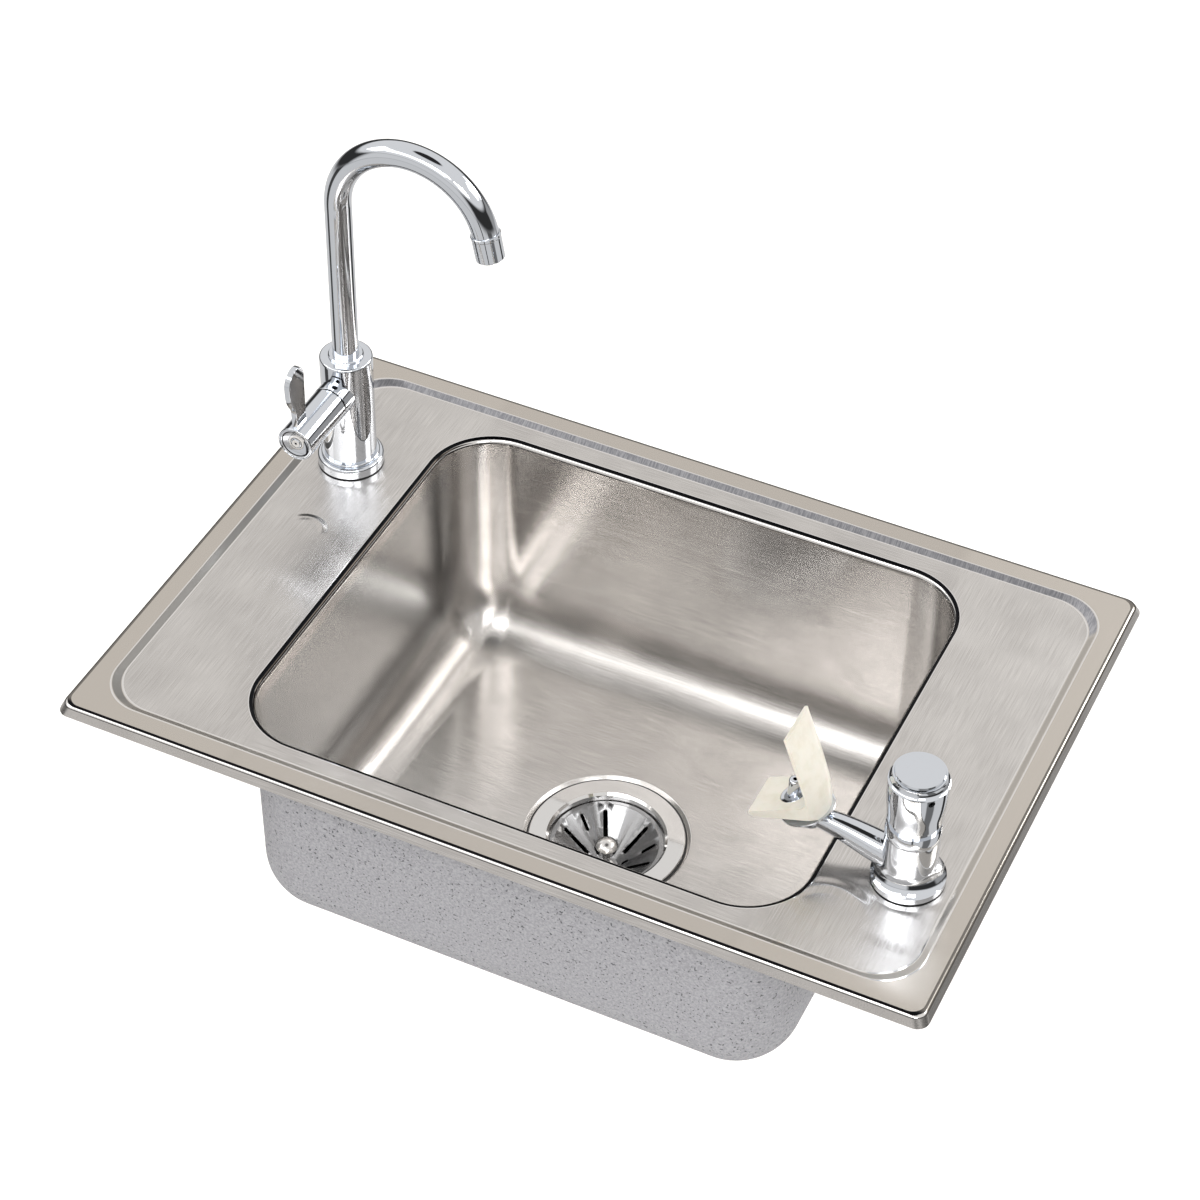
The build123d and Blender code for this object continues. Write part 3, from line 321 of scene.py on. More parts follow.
def burnished_stainless(sizes, colours):
    """The step's slope, rubbed by the press, with short scuffs across it along the back that are
    wear. Its tone is painted light and shade by the way it faces: cool along the back, warm and
    light at the right and front, dark at the left, all dull. Scuffs are 1 mm wide."""

    def sockets(tree):
        place = object_place(tree)
        normal = add(tree, "NewGeometry").outputs["Normal"]
        slope = add(tree, "SeparateXYZ", (normal,)).outputs
        # Painted light and shade: the slope's tone is picked by the way it faces, cool at the back,
        # dark at the left, light at the right and front
        back = add(tree, "MapRange", (slope["Y"], -0.1, -0.02, 1, 0), **SMOOTH)
        scuffs = cells(tree, place, (0.9 * MM, 9 * MM, 9 * MM), 2.0, 0.7)
        tone = add(tree, "MapRange", (scuffs, 0.35, 0.66, 0, 1), **SMOOTH)
        cool = {"Factor": tone, COLOUR_A: colours.burnish_dark, COLOUR_B: colours.burnish_and_sheen}
        cool = add(tree, "Mix", cool, **RGBA)
        left = add(tree, "MapRange", (slope["X"], 0.05, 0.2, 0, 1), **SMOOTH)
        warm = {"Factor": left, COLOUR_A: colours.rubbed, COLOUR_B: colours.step_left_shade}
        warm = add(tree, "Mix", warm, **RGBA)
        base = add(tree, "Mix", {"Factor": back, COLOUR_A: warm, COLOUR_B: cool}, **RGBA)
        rise = add(tree, "Math", (scuffs, back), operation="MULTIPLY")
        return {
            "Base Color": base,
            "Metallic": 1,
            "Roughness": 0.34,
            "Normal": add(tree, "Bump", {"Height": rise, "Strength": 0.3, "Distance": 0.1 * MM}),
        }

    return new_material("stainless_burnished", sockets)


def buffed_stainless(sizes, colours):
    """The same steel buffed to a mirror with a soft wheel, for the bead between its painted dark
    lines. Where it faces +X and upwards, on the bowl's left side, it is painted dark brown: painted
    shade."""

    def sockets(tree):
        haze = cells(tree, object_place(tree), 9 * MM)
        rough = add(tree, "Math", (haze, 0.05, 0.04), operation="MULTIPLY_ADD")
        normal = add(tree, "NewGeometry").outputs["Normal"]
        facing = add(tree, "SeparateXYZ", (normal,)).outputs
        # Painted shade: faces that look along +X and upwards take the dark brown colour
        left = add(tree, "MapRange", (facing["X"], 0.5, 0.6, 0, 1), **SMOOTH)
        upper = add(tree, "MapRange", (facing["Z"], 0.54, 0.62, 0, 1), **SMOOTH)
        brown = add(tree, "Math", (left, upper), operation="MULTIPLY")
        base = {"Factor": brown, COLOUR_A: colours.bright, COLOUR_B: colours.bead_left_shade}
        base = add(tree, "Mix", base, **RGBA)
        return {"Base Color": base, "Metallic": 1, "Roughness": rough}

    return new_material("stainless_buffed", sockets)


def rolled_stainless(name, front, elsewhere):
    """The rim's roll, buffed to a mirror, in one colour along its front and another, darker, on the
    other sides. In black and dark grey it gives the roll's painted dark reflection lines."""

    def sockets(tree):
        place = object_place(tree)
        haze = cells(tree, place, 6 * MM)
        depth = add(tree, "SeparateXYZ", (place,)).outputs["Y"]
        share = (depth, RIM_LOW.y + 7 * MM, RIM_LOW.y + 12 * MM, 0, 1)
        share = add(tree, "MapRange", share, **SMOOTH)
        tones = {"Factor": share, COLOUR_A: front, COLOUR_B: elsewhere}
        return {
            "Base Color": add(tree, "Mix", tones, **RGBA),
            "Metallic": 1,
            "Roughness": add(tree, "Math", (haze, 0.08, 0.1), operation="MULTIPLY_ADD"),
        }

    return new_material(name, sockets)


def bead_shade_line(sizes, colours):
    """A dark glossy line along the bowl's bead, painted black: a painted dark reflection."""

    def sockets(tree):
        haze = cells(tree, object_place(tree), 6 * MM)
        rough = add(tree, "Math", (haze, 0.1, 0.15), operation="MULTIPLY_ADD")
        return {"Base Color": colours.rubber, "Metallic": 1, "Roughness": rough}

    return new_material("stainless_bead_shade_line", sockets)


def spun_stainless(name, base, roughness, anisotropic, inside=None):
    """Stainless turned on a spinning lathe and polished: rings of fine lines, so light fans out
    from the middle. Real rings are 0.05 mm apart; they are drawn 0.6 mm apart to show."""

    def sockets(tree):
        place = object_place(tree)
        flat = from_point(tree, place, DRAIN_MIDDLE, (1, 1, 0))
        radius = add(tree, "VectorMath", (flat,), operation="LENGTH")
        ring = add(tree, "VectorMath", ((0, 0, 1), flat), operation="CROSS_PRODUCT")
        normal = add(tree, "NewGeometry").outputs["Normal"]
        across = add(tree, "VectorMath", (normal, ring), operation="CROSS_PRODUCT")
        across = add(tree, "VectorMath", (across,), operation="NORMALIZE")
        by_radius = add(tree, "CombineXYZ", (radius,))
        rings = cells(tree, by_radius, (0.6 * MM, 1, 1))
        rough = (rings, 0.5 * roughness, 0.75 * roughness)
        rough = add(tree, "Math", rough, operation="MULTIPLY_ADD")
        tone = base
        # Painted shade: from 7 to 9 mm below the drain body's top, the tone turns to near black
        # inside it
        if inside is not None:
            height = add(tree, "SeparateXYZ", (place,)).outputs["Z"]
            deep = (height, DRAIN_HIGH.z - 9 * MM, DRAIN_HIGH.z - 7 * MM, 0, 1)
            deep = add(tree, "MapRange", deep, **SMOOTH)
            tone = add(tree, "Mix", {"Factor": deep, COLOUR_A: inside, COLOUR_B: base}, **RGBA)
        return {
            "Base Color": tone,
            "Metallic": 1,
            "Roughness": rough,
            "Anisotropic": anisotropic,
            "Tangent": across,
        }

    return new_material(name, sockets)


def seam(tree, distance, start, width):
    """Share of painted shade in a seam: all for a width from its start, none elsewhere."""
    entry = add(tree, "MapRange", (distance, start, start + width * 0.15, 0, 1), **SMOOTH)
    leave = add(tree, "MapRange", (distance, start + width * 0.85, start + width, 0, 1), **SMOOTH)
    return add(tree, "Math", (entry, leave), operation="SUBTRACT")


def chrome_plate(name, colours, along_seams=(), ring_seams=()):
    """Brass castings and tube, polished, nickelled and chrome plated: a cool mirror with barely
    any haze. Seams are painted black as painted shade, at places along the valve's line or at radii
    round it."""

    def sockets(tree):
        place = object_place(tree)
        haze = cells(tree, place, 12 * MM)
        wave = cells(tree, place, 16 * MM, 1.0)
        seam_shade = []
        if along_seams:
            along = add(tree, "SeparateXYZ", (place,)).outputs["Y"]
            seam_shade += [seam(tree, along, *where) for where in along_seams]
        if ring_seams:
            flat = from_point(tree, place, STEM_MIDDLE, (1, 0, 1))
            radius = add(tree, "VectorMath", (flat,), operation="LENGTH")
            seam_shade += [seam(tree, radius, *where) for where in ring_seams]
        tone = colours.chrome
        for share in seam_shade:
            tone = {"Factor": share, COLOUR_A: tone, COLOUR_B: colours.rubber}
            tone = add(tree, "Mix", tone, **RGBA)
        return {
            "Base Color": tone,
            "Metallic": 1,
            "Roughness": add(tree, "Math", (haze, 0.05, 0.02), operation="MULTIPLY_ADD"),
            "Normal": add(tree, "Bump", {"Height": wave, "Strength": 0.12, "Distance": 0.08 * MM}),
        }

    return new_material(name, sockets)


def sprayed_coat(sizes, colours):
    """Sound-deadening mastic, sprayed on: dull grey with a pebbled skin and scattered dark specks.
    Pebbles are 2 mm and specks about 2 mm across."""

    def sockets(tree):
        place = object_place(tree)
        pebbles = cells(tree, place, 1.9 * MM, 3.0, 0.6)
        specks = cells(tree, place, 2.1 * MM, 1.0)
        patches = cells(tree, place, 25 * MM)
        dark = add(tree, "Math", (patches, 0.06, specks), operation="MULTIPLY_ADD")
        dark = add(tree, "MapRange", (dark, 0.68, 0.73, 0, 0.85), **SMOOTH)
        tone = add(tree, "MapRange", (pebbles, 0.35, 0.65, 0, 1), **SMOOTH)
        light = {"Factor": tone, COLOUR_A: colours.coat, COLOUR_B: colours.coat_light}
        light = add(tree, "Mix", light, **RGBA)
        specked = {"Factor": dark, COLOUR_A: light, COLOUR_B: colours.coat_speck}
        return {
            "Base Color": add(tree, "Mix", specked, **RGBA),
            "Roughness": 0.75,
            "Normal": add(tree, "Bump", {"Height": pebbles, "Strength": 0.7, "Distance": 0.5 * MM}),
        }

    return new_material("mastic_sprayed", sockets)


def moulded_ivory(sizes, colours):
    """Vinyl rubber, moulded: creamy and soft, a little light under its skin, faint mottling."""

    def sockets(tree):
        place = object_place(tree)
        blotch = cells(tree, place, 11 * MM, 3.0, 0.6)
        share = add(tree, "MapRange", (blotch, 0.4, 0.75, 0, 1), **SMOOTH)
        skin = cells(tree, place, 0.9 * MM)
        mottled = {"Factor": share, COLOUR_A: colours.guard, COLOUR_B: colours.guard_shade}
        return {
            "Base Color": add(tree, "Mix", mottled, **RGBA),
            "Roughness": 0.42,
            "Subsurface Weight": 0.12,
            "Subsurface Scale": 2.5 * MM,
            "Normal": add(tree, "Bump", {"Height": skin, "Strength": 0.08, "Distance": 0.1 * MM}),
        }

    return new_material("vinyl_rubber_moulded", sockets)


def plain_material(name, metallic, roughness, base, cell, amount):
    """Hidden or small parts: one tone, with roughness and a faint bump that vary over a real cell
    size."""

    def sockets(tree):
        grain = cells(tree, object_place(tree), cell, 3.0)
        rough = add(tree, "Math", (grain, amount, roughness - amount / 2), operation="MULTIPLY_ADD")
        return {
            "Base Color": base,
            "Metallic": metallic,
            "Roughness": rough,
            "Normal": add(tree, "Bump", {"Height": grain, "Strength": 0.15, "Distance": 0.1 * MM}),
        }

    return new_material(name, sockets)


def material(name):
    """Material of this object by a short name, made at its first use."""
    if name not in MATERIALS:
        scene = bpy.context.scene
        MATERIALS[name] = RECIPES[name](scene.sink_sheet, scene.sink_colours)
    return MATERIALS[name]


# Seams painted black as painted shade, each with its start and width: the sleeve's end, along the
# valve's line, and the end cap's rim, middle and inner ring, by their radius
SLEEVE_SEAMS = [(SLEEVE_END - 1.1 * MM, 1.2 * MM)]
CAP_SEAMS = [(CAP_EDGE - 2.2 * MM, 0.9 * MM), (-MM, 2.1 * MM), (4.1 * MM, 0.5 * MM)]

MATERIALS = {}
RECIPES = {
    "satin": satin_stainless,
    "buffed": buffed_stainless,
    "burnished": burnished_stainless,
    "bead_shade_line": bead_shade_line,
    "roll": lambda s, c: rolled_stainless("stainless_rolled", c.bright, c.roll),
    "roll_shade_line": lambda s, c: rolled_stainless("stainless_roll_shade_line", c.rubber, c.roll_shade_line),
    "flange": lambda s, c: spun_stainless("stainless_spun_flange", c.flange, 0.05, 0.2, c.drain_inside_shade),
    "basket": lambda s, c: spun_stainless("stainless_spun_basket", c.basket, 0.22, 0.7),
    "knob": lambda s, c: spun_stainless("stainless_spun_knob", c.bright, 0.24, 0.2),
    "chrome": lambda s, c: chrome_plate("chrome_plated_brass", c),
    "handle": lambda s, c: chrome_plate("chrome_plated_handle", c, along_seams=SLEEVE_SEAMS),
    "cap": lambda s, c: chrome_plate("chrome_plated_cap", c, ring_seams=CAP_SEAMS),
    "coat": sprayed_coat,
    "ivory": moulded_ivory,
    # nitrile, moulded: near black, dull, with a slight bloom
    "rubber": lambda s, c: plain_material("nitrile_moulded", 0, 0.6, c.rubber, 3 * MM, 0.15),
    # butyl mastic, extruded: dark grey, sticky sheen
    "putty": lambda s, c: plain_material("butyl_extruded", 0, 0.5, c.putty, 5 * MM, 0.2),
    # steel, zinc plated: grey with a cloudy spangle
    "zinc": lambda s, c: plain_material("steel_zinc_plated", 1, 0.36, c.zinc, 4 * MM, 0.2),
    # steel, black oxide: dark, oily
    "oxide": lambda s, c: plain_material("steel_black_oxide", 1, 0.4, c.rubber, 2 * MM, 0.15),
    # brass, machined: yellow with fine tool marks
    "brass": lambda s, c: plain_material("brass_machined", 1, 0.3, c.brass, 2 * MM, 0.15),
    # acetal, moulded: white, waxy
    "plastic": lambda s, c: plain_material("acetal_moulded", 0, 0.4, c.plastic, 6 * MM, 0.1),
    # stainless wire, cold drawn: bright along the wire
    "wire": lambda s, c: plain_material("spring_wire_drawn", 1, 0.28, c.wire, 1 * MM, 0.1),
}

NODE_MATERIALS = {
    "coat": ["sound_coat"],
    "zinc": ["mount_rails", "drain_locknut", "handle_screw", "faucet_washer", "bubbler_washer"],
    "rubber": ["drain_gasket", "basket_stopper", "faucet_gasket", "spout_o_rings",
               "bubbler_gasket"],
    "plastic": ["friction_ring", "tailpiece_washer", "aerator_insert"],
    "chrome": ["tailpiece", "coupling_nut", "faucet_base", "faucet_body", "spout",
               "spout_collar", "aerator_housing", "bubbler_body", "push_cap", "nozzle"],
    "handle": ["handle"],
    "cap": ["handle_cap"],
    "oxide": ["bonnet_screw", "cap_screw"],
    "knob": ["basket_knob"],
    "brass": ["valve_cartridge", "cartridge_stem", "spout_ferrule", "faucet_shank",
              "faucet_locknut", "bubbler_cartridge", "plunger", "bubbler_shank",
              "bubbler_locknut"],
    "flange": ["drain_body"],
}


# Modelling
def deselect():
    """Leaves edit mode with nothing selected."""
    if bpy.context.mode != "OBJECT":
        bpy.ops.object.mode_set(mode="OBJECT")
    bpy.ops.object.select_all(action="DESELECT")


def pick(obj):
    """Makes one object the only selected and active one."""
    deselect()
    obj.select_set(True)
    bpy.context.view_layer.objects.active = obj


def edit(obj):
    pick(obj)
    bpy.ops.object.mode_set(mode="EDIT")
    bpy.ops.mesh.select_all(action="DESELECT")


def settle(obj):
    """Moves a piece's place into its mesh."""
    pick(obj)
    bpy.ops.object.transform_apply(location=True, rotation=True, scale=True)


def apply(obj, kind, **settings):
    """Adds a modifier, sets it and applies it."""
    pick(obj)
    bpy.ops.object.modifier_add(type=kind)
    modifier = obj.modifiers[-1]
    for name, value in settings.items():
        setattr(modifier, name, value)
    bpy.ops.object.modifier_apply(modifier=modifier.name)


def smooth(obj, degrees=35):
    pick(obj)
    bpy.ops.object.shade_smooth_by_angle(angle=radians(degrees))


def finish(obj, body, slot, *nodes):
    """Rides the piece on its body and hides the CAD nodes it stands for; its slot is not used."""
    deselect()
    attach(obj, body)
    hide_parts(*nodes)
    if not obj.data.polygons:
        raise RuntimeError(f"{obj.name} has no faces")


def copy_of(node, name):
    """Merged copy of a CAD node's mesh, to be finished as a piece of its own."""
    deselect()
    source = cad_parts[node]
    obj = bpy.data.objects.new(name, source.data.copy())
    obj.data.name = name
    bpy.context.scene.collection.objects.link(obj)
    obj.data.materials.clear()
    edit(obj)
    bpy.ops.mesh.customdata_custom_splitnormals_clear()
    bpy.ops.mesh.select_all(action="SELECT")
    bpy.ops.mesh.remove_doubles(threshold=0.004 * MM)
    bpy.ops.mesh.dissolve_limited(angle_limit=radians(0.6))
    bpy.ops.object.mode_set(mode="OBJECT")
    return obj


def rounded_copy(node, name, paint, edge, segments, sharp):
    """Copy of a CAD node in a material, its edges over a sharp angle in degrees rounded."""
    obj = copy_of(node, name)
    obj.data.materials.append(material(paint))
    limit = {"limit_method": "ANGLE", "angle_limit": radians(sharp)}
    apply(obj, "BEVEL", width=edge, segments=segments, **limit)
    smooth(obj, 40)
    return obj


# The sheet. Its loops are drawn a step below one another, because a bridge between two loops in one
# plane can twist, and each is lifted to its own level afterwards.
CORNER_STEPS = 18
SPREAD = 20 * MM


def rounded_loop(obj, name, length, width, corner, centre, z):
    """Adds a rounded rectangle of edges to the mesh and remembers it as a vertex group."""
    bpy.ops.mesh.select_all(action="DESELECT")
    bpy.ops.mesh.primitive_plane_add(size=1, location=(*centre, z), scale=(1, 1, 1))
    bpy.ops.transform.resize(value=(length, width, 1), center_override=(*centre, z))
    bpy.ops.mesh.bevel(offset=corner, segments=CORNER_STEPS, profile=0.5, affect="VERTICES")
    remember(obj, name)
    bpy.ops.mesh.delete(type="ONLY_FACE")


def round_loop(obj, name, radius, centre, z):
    """Adds a circle with as many points as a rounded loop has, and remembers it."""
    bpy.ops.mesh.select_all(action="DESELECT")
    count = 4 * (CORNER_STEPS + 1)
    turn = pi / 4 + pi / count * CORNER_STEPS
    bpy.ops.mesh.primitive_circle_add(
        vertices=count, radius=radius, location=(*centre, z), rotation=(0, 0, turn)
    )
    remember(obj, name)


def remember(obj, name):
    bpy.ops.object.vertex_group_add()
    obj.vertex_groups.active.name = name
    bpy.ops.object.vertex_group_assign()


def recall(obj, *names):
    """Selects remembered loops and nothing else."""
    bpy.ops.mesh.select_all(action="DESELECT")
    for name in names:
        obj.vertex_groups.active_index = obj.vertex_groups[name].index
        bpy.ops.object.vertex_group_select()


def bridge(obj, name_a, name_b, slot):
    """Skins the space between two remembered loops and gives the new faces a material slot."""
    recall(obj, name_a, name_b)
    bpy.ops.mesh.bridge_edge_loops()
    obj.active_material_index = slot
    bpy.ops.object.material_slot_assign()


def skin(name, loops, paints, closed=False):
    """New object skinned from loop to loop, and from the last to the first if it is closed."""
    deselect()
    bpy.ops.mesh.primitive_plane_add(size=MM)
    obj = bpy.context.object
    obj.name = name
    obj.data.name = name
    for paint in paints:
        obj.data.materials.append(material(paint))
    bpy.ops.object.mode_set(mode="EDIT")
    bpy.ops.mesh.delete(type="VERT")
    for k, (draw, *values, level, slot) in enumerate(loops):
        draw(obj, f"loop{k}", *values, level - k * SPREAD)
    for k in range(1, len(loops)):
        bridge(obj, f"loop{k - 1}", f"loop{k}", loops[k][-1])
    for k in range(1, len(loops)):
        recall(obj, f"loop{k}")
        bpy.ops.transform.translate(value=(0, 0, k * SPREAD))
    if closed:
        bridge(obj, "loop0", f"loop{len(loops) - 1}", loops[0][-1])
    bpy.ops.mesh.select_all(action="SELECT")
    bpy.ops.mesh.normals_make_consistent(inside=False)
    bpy.ops.object.mode_set(mode="OBJECT")
    return obj


# Material slots of the sheet, in this order; the putty slot is partly painted shade in the drain's
# recess, and the two dark line slots are painted dark reflection lines
SHEET_PAINTS = ("satin", "buffed", "burnished", "putty", "bead_shade_line", "roll", "roll_shade_line")
SATIN, BUFFED, BURNISHED, SHADOW, BEAD_SHADE_LINE, ROLL, ROLL_SHADE_LINE = range(len(SHEET_PAINTS))
# The rim's roll from the flange up to the border: share of the slope's angle, and slot; the dark
# line bands are painted dark reflection lines
ROLL_BANDS = (
    (1, SATIN), (0.96, SATIN), (0.83, ROLL_SHADE_LINE), (0.7, ROLL), (0.56, ROLL),
    (0.42, ROLL), (0.28, ROLL_SHADE_LINE), (0.14, ROLL_SHADE_LINE), (0, ROLL_SHADE_LINE),
)
# The bead from the deck down to the wall: angle in degrees, and slot; the dark line bands are a
# painted dark reflection line
BEAD_BANDS = (
    (6, BUFFED), (14, BEAD_SHADE_LINE), (26, BEAD_SHADE_LINE), (38, BEAD_SHADE_LINE), (48, BUFFED), (58, BUFFED), (68, BUFFED),
    (72, BEAD_SHADE_LINE), (81, BUFFED), (90, BUFFED),
)
# Putty under the rim: distance in from the rim's edge and height, in millimetres
PUTTY_PROFILE = ((1.8, 0), (1.8, 0.7), (3.4, 4.0), (5.6, 4.2), (5.8, 4.0), (5.8, 0))
FOOT_EDGE = 0.25 * MM  # rounding of the flange's foot
STEP_BEND = 1.5 * MM  # radius of the step's two bends
STEP_PARTS = 3
WALL_DRAFT = 0.5  # degrees that the bowl's walls lean
FLOOR_PARTS = 18
DISH_EDGE = 0.3 * MM  # rounding of the drain's recess


def rim_outline(s, inset, corner):
    """Length, width, corner and centre of the rim's outline, so far in from its edge."""
    length = RIM_HIGH.x - RIM_LOW.x - s.draw_in - 2 * inset
    width = RIM_HIGH.y - RIM_LOW.y - s.draw_in - 2 * inset
    return length, width, corner, (RIM_MIDDLE.x + s.draw_in / 2, RIM_MIDDLE.y - s.draw_in / 2)


def sheet_loops(s):
    """Loops of the sheet from the rim's foot to the drain hole: kind, sizes, level and material."""
    top = RIM_HIGH.z
    loops = []

    def rim(inset, corner, z, slot=SATIN):
        loops.append((rounded_loop, *rim_outline(s, inset, corner), z, slot))

    def bowl(inset, corner, z, slot=SATIN):
        length = s.bowl_length - 2 * inset
        width = s.bowl_width - 2 * inset
        loops.append((rounded_loop, length, width, corner, BOWL_CENTRE, z, slot))

    slope = atan2(top, s.flange_run)
    tangent = s.crest * tan(slope / 2)
    rim(0, s.rim_corner, 0)
    rim(FOOT_EDGE, s.rim_corner, FOOT_EDGE * tan(slope))
    for share, slot in ROLL_BANDS:
        a = slope * share
        inset = s.flange_run + tangent - s.crest * sin(a)
        rim(inset, s.rim_corner, top - s.crest * (1 - cos(a)), slot)
    rim(s.flange_run + tangent + 0.3 * MM, s.rim_corner, top, ROLL_SHADE_LINE)
    rim(s.flange_run + tangent + 1.2 * MM, s.rim_corner, top)

    start = s.flange_run + s.border
    fall = atan2(s.step_drop, s.step_run)
    soft = STEP_BEND * tan(fall / 2)
    deck = top - s.step_drop
    rim(start - soft - 0.8 * MM, s.step_corner, top)
    for k in range(STEP_PARTS + 1):
        a = fall * k / STEP_PARTS
        slot = BURNISHED if k else BUFFED
        rim(start - soft + STEP_BEND * sin(a), s.step_corner, top - STEP_BEND * (1 - cos(a)), slot)
    end = start + s.step_run
    for k in range(STEP_PARTS + 1):
        a = fall * (1 - k / STEP_PARTS)
        level = deck + STEP_BEND * (1 - cos(a))
        rim(end + soft - STEP_BEND * sin(a), s.step_corner, level, BURNISHED)
    rim(end + soft + 0.9 * MM, s.step_corner, deck, BUFFED)
    rim(end + soft + 1.5 * MM, s.step_corner, deck)

    bowl(-s.bead - 1.0 * MM, s.bowl_corner + s.bead + 1.0 * MM, deck)
    bowl(-s.bead - 0.1 * MM, s.bowl_corner + s.bead + 0.1 * MM, deck)
    for degrees, slot in BEAD_BANDS:
        a = radians(degrees)
        out = s.bead * (1 - sin(a))
        bowl(-out, s.bowl_corner + out, deck - s.bead * (1 - cos(a)), slot)
    draft = tan(radians(WALL_DRAFT))
    floor = deck - s.bowl_depth
    bowl((s.bead + 2 * MM) * draft, s.bowl_corner, deck - s.bead - 2 * MM)
    foot = floor + s.floor_radius
    lean = (deck - foot) * draft
    bowl(lean - 2 * MM * draft, s.bowl_corner - lean, foot + 2 * MM)
    for k in range(FLOOR_PARTS + 1):
        a = pi / 2 * k / FLOOR_PARTS
        inset = s.floor_radius * (1 - cos(a))
        corner = s.bowl_corner - lean - inset
        bowl(lean + inset, corner, foot - s.floor_radius * sin(a))
    edge = s.dish_radius + s.dish_run
    low = floor - s.dish_depth
    for radius, z, slot in (
        (edge + 1.5 * MM, floor, SATIN),
        (edge + 0.4 * MM, floor, SATIN),
        (edge, floor - DISH_EDGE / 3, BUFFED),
        (s.dish_radius + DISH_EDGE, low + DISH_EDGE, SATIN),
        # Painted shade: the recess's floor round the drain hole takes the dark putty slot, so the
        # gap at the flange's edge shows dark; partly a real putty seat
        (s.dish_radius, low, SHADOW),
        (s.drain_hole, low, SHADOW),
    ):
        loops.append((round_loop, radius, BOWL_CENTRE, z, slot))
    return loops


class SINK_OT_sheet(bpy.types.Operator):
    """Pressed sheet: flange, border, step, deck, bead, bowl and drain recess"""

    bl_idname = "sink.sheet"
    bl_label = "Sheet"

    def execute(self, context):
        s = context.scene.sink_sheet
        obj = skin("sink_sheet", sheet_loops(s), SHEET_PAINTS)
        up = sum(p.normal.z * p.area for p in obj.data.polygons)
        if up < 0:
            edit(obj)
            bpy.ops.mesh.select_all(action="SELECT")
            bpy.ops.mesh.flip_normals()
            bpy.ops.object.mode_set(mode="OBJECT")
        obj.vertex_groups.clear()
        apply(obj, "SOLIDIFY", thickness=s.thickness, offset=-1, use_even_offset=True)
        for spot in (FAUCET_MIDDLE, BUBBLER_MIDDLE):
            deselect()
            bpy.ops.mesh.primitive_cylinder_add(
                vertices=48, radius=s.deck_hole, depth=20 * MM,
                location=(spot.x, spot.y, RIM_HIGH.z - 3 * MM),
            )
            cutter = context.object
            apply(obj, "BOOLEAN", operation="DIFFERENCE", object=cutter, solver="EXACT")
            bpy.data.objects.remove(cutter)
        smooth(obj, 40)
        apply(obj, "WEIGHTED_NORMAL", keep_sharp=True, weight=100)
        finish(obj, "sink", "stainless", "sink_body")
        return {"FINISHED"}


class SINK_OT_seal(bpy.types.Operator):
    """Putty under the rim, pressed to the flange's slope"""

    bl_idname = "sink.seal"
    bl_label = "Sealing strip"

    def execute(self, context):
        s = context.scene.sink_sheet
        loops = [
            (rounded_loop, *rim_outline(s, inset * MM, s.rim_corner), height * MM, 0)
            for inset, height in PUTTY_PROFILE
        ]
        obj = skin("sealing_strip", loops, ("putty",), closed=True)
        obj.vertex_groups.clear()
        smooth(obj, 30)
        finish(obj, "sink", "putty", "rim_seal")
        return {"FINISHED"}


class SINK_OT_spring(bpy.types.Operator):
    """Return spring under the bubbler's cap: a copy of the CAD coil"""

    bl_idname = "sink.spring"
    bl_label = "Return spring"

    def execute(self, context):
        obj = copy_of("return_spring", "cap_spring")
        obj.data.materials.append(material("wire"))
        smooth(obj, 40)
        finish(obj, "sink", "spring_steel", "return_spring")
        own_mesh(obj)
        return {"FINISHED"}


class SINK_OT_carried(bpy.types.Operator):
    """Materials of the CAD nodes that stay as they are"""

    bl_idname = "sink.carried"
    bl_label = "Carried-over nodes"

    def execute(self, context):
        for name, nodes in NODE_MATERIALS.items():
            for node in nodes:
                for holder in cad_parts[node].material_slots:
                    holder.material = material(name)
        return {"FINISHED"}


class SINK_OT_basket(bpy.types.Operator):
    """Strainer basket: the CAD cone with its slots, their edges rounded as by the press"""

    bl_idname = "sink.basket"
    bl_label = "Strainer basket"

    def execute(self, context):
        edge = context.scene.sink_fittings.slot_edge
        obj = rounded_copy("basket", "strainer_basket", "basket", edge, segments=2, sharp=50)
        finish(obj, "strainer", "polished_steel", "basket")
        return {"FINISHED"}


class SINK_OT_lever(bpy.types.Operator):
    """Handle: the CAD sleeve and wing lever with their edges rounded and polished"""

    bl_idname = "sink.lever"
    bl_label = "Lever handle"

    def execute(self, context):
        edge = context.scene.sink_fittings.lever_edge
        obj = rounded_copy("handle", "lever_handle", "handle", edge, segments=3, sharp=40)
        apply(obj, "WEIGHTED_NORMAL", keep_sharp=True, weight=100)
        finish(obj, "turn_handle", "chrome", "handle")
        return {"FINISHED"}


class SINK_OT_guard(bpy.types.Operator):
    """Mouth guard: lip and shield in one, moulded with soft edges"""

    bl_idname = "sink.guard"
    bl_label = "Mouth guard"

    def execute(self, context):
        edge = context.scene.sink_fittings.guard_edge
        obj = rounded_copy("mouth_guard", "drinking_guard", "ivory", edge, segments=3, sharp=40)
        apply(obj, "WEIGHTED_NORMAL", keep_sharp=True, weight=100)
        finish(obj, "sink", "ivory_rubber", "mouth_guard")
        return {"FINISHED"}


# Studio
CAMERA_AZIMUTH = 22.79
CAMERA_ELEVATION = 43.29
CAMERA_ROLL = 2.46
CAMERA_PLACE = (653 * MM, -1434.8 * MM, 1539.9 * MM)
PHOTO_PIXELS = 1200
FOCAL_PIXELS = 3182.1
CENTRE_PIXEL = 680
SENSOR_MM = 36.0
FLOOR_DROP = 120 * MM
FLOOR_SIZE = 80  # metres, so that no edge of it shows in a low view
# Gaps in the walls' lower half: direction and half width in degrees, depth, softness in degrees
WALL_GAPS = (
    (-157, 9, 0.9, 3),
    (-72, 2, 0.9, 2),
    (-20, 12, 0.75, 6),
    (43, 6, 0.95, 3),
)
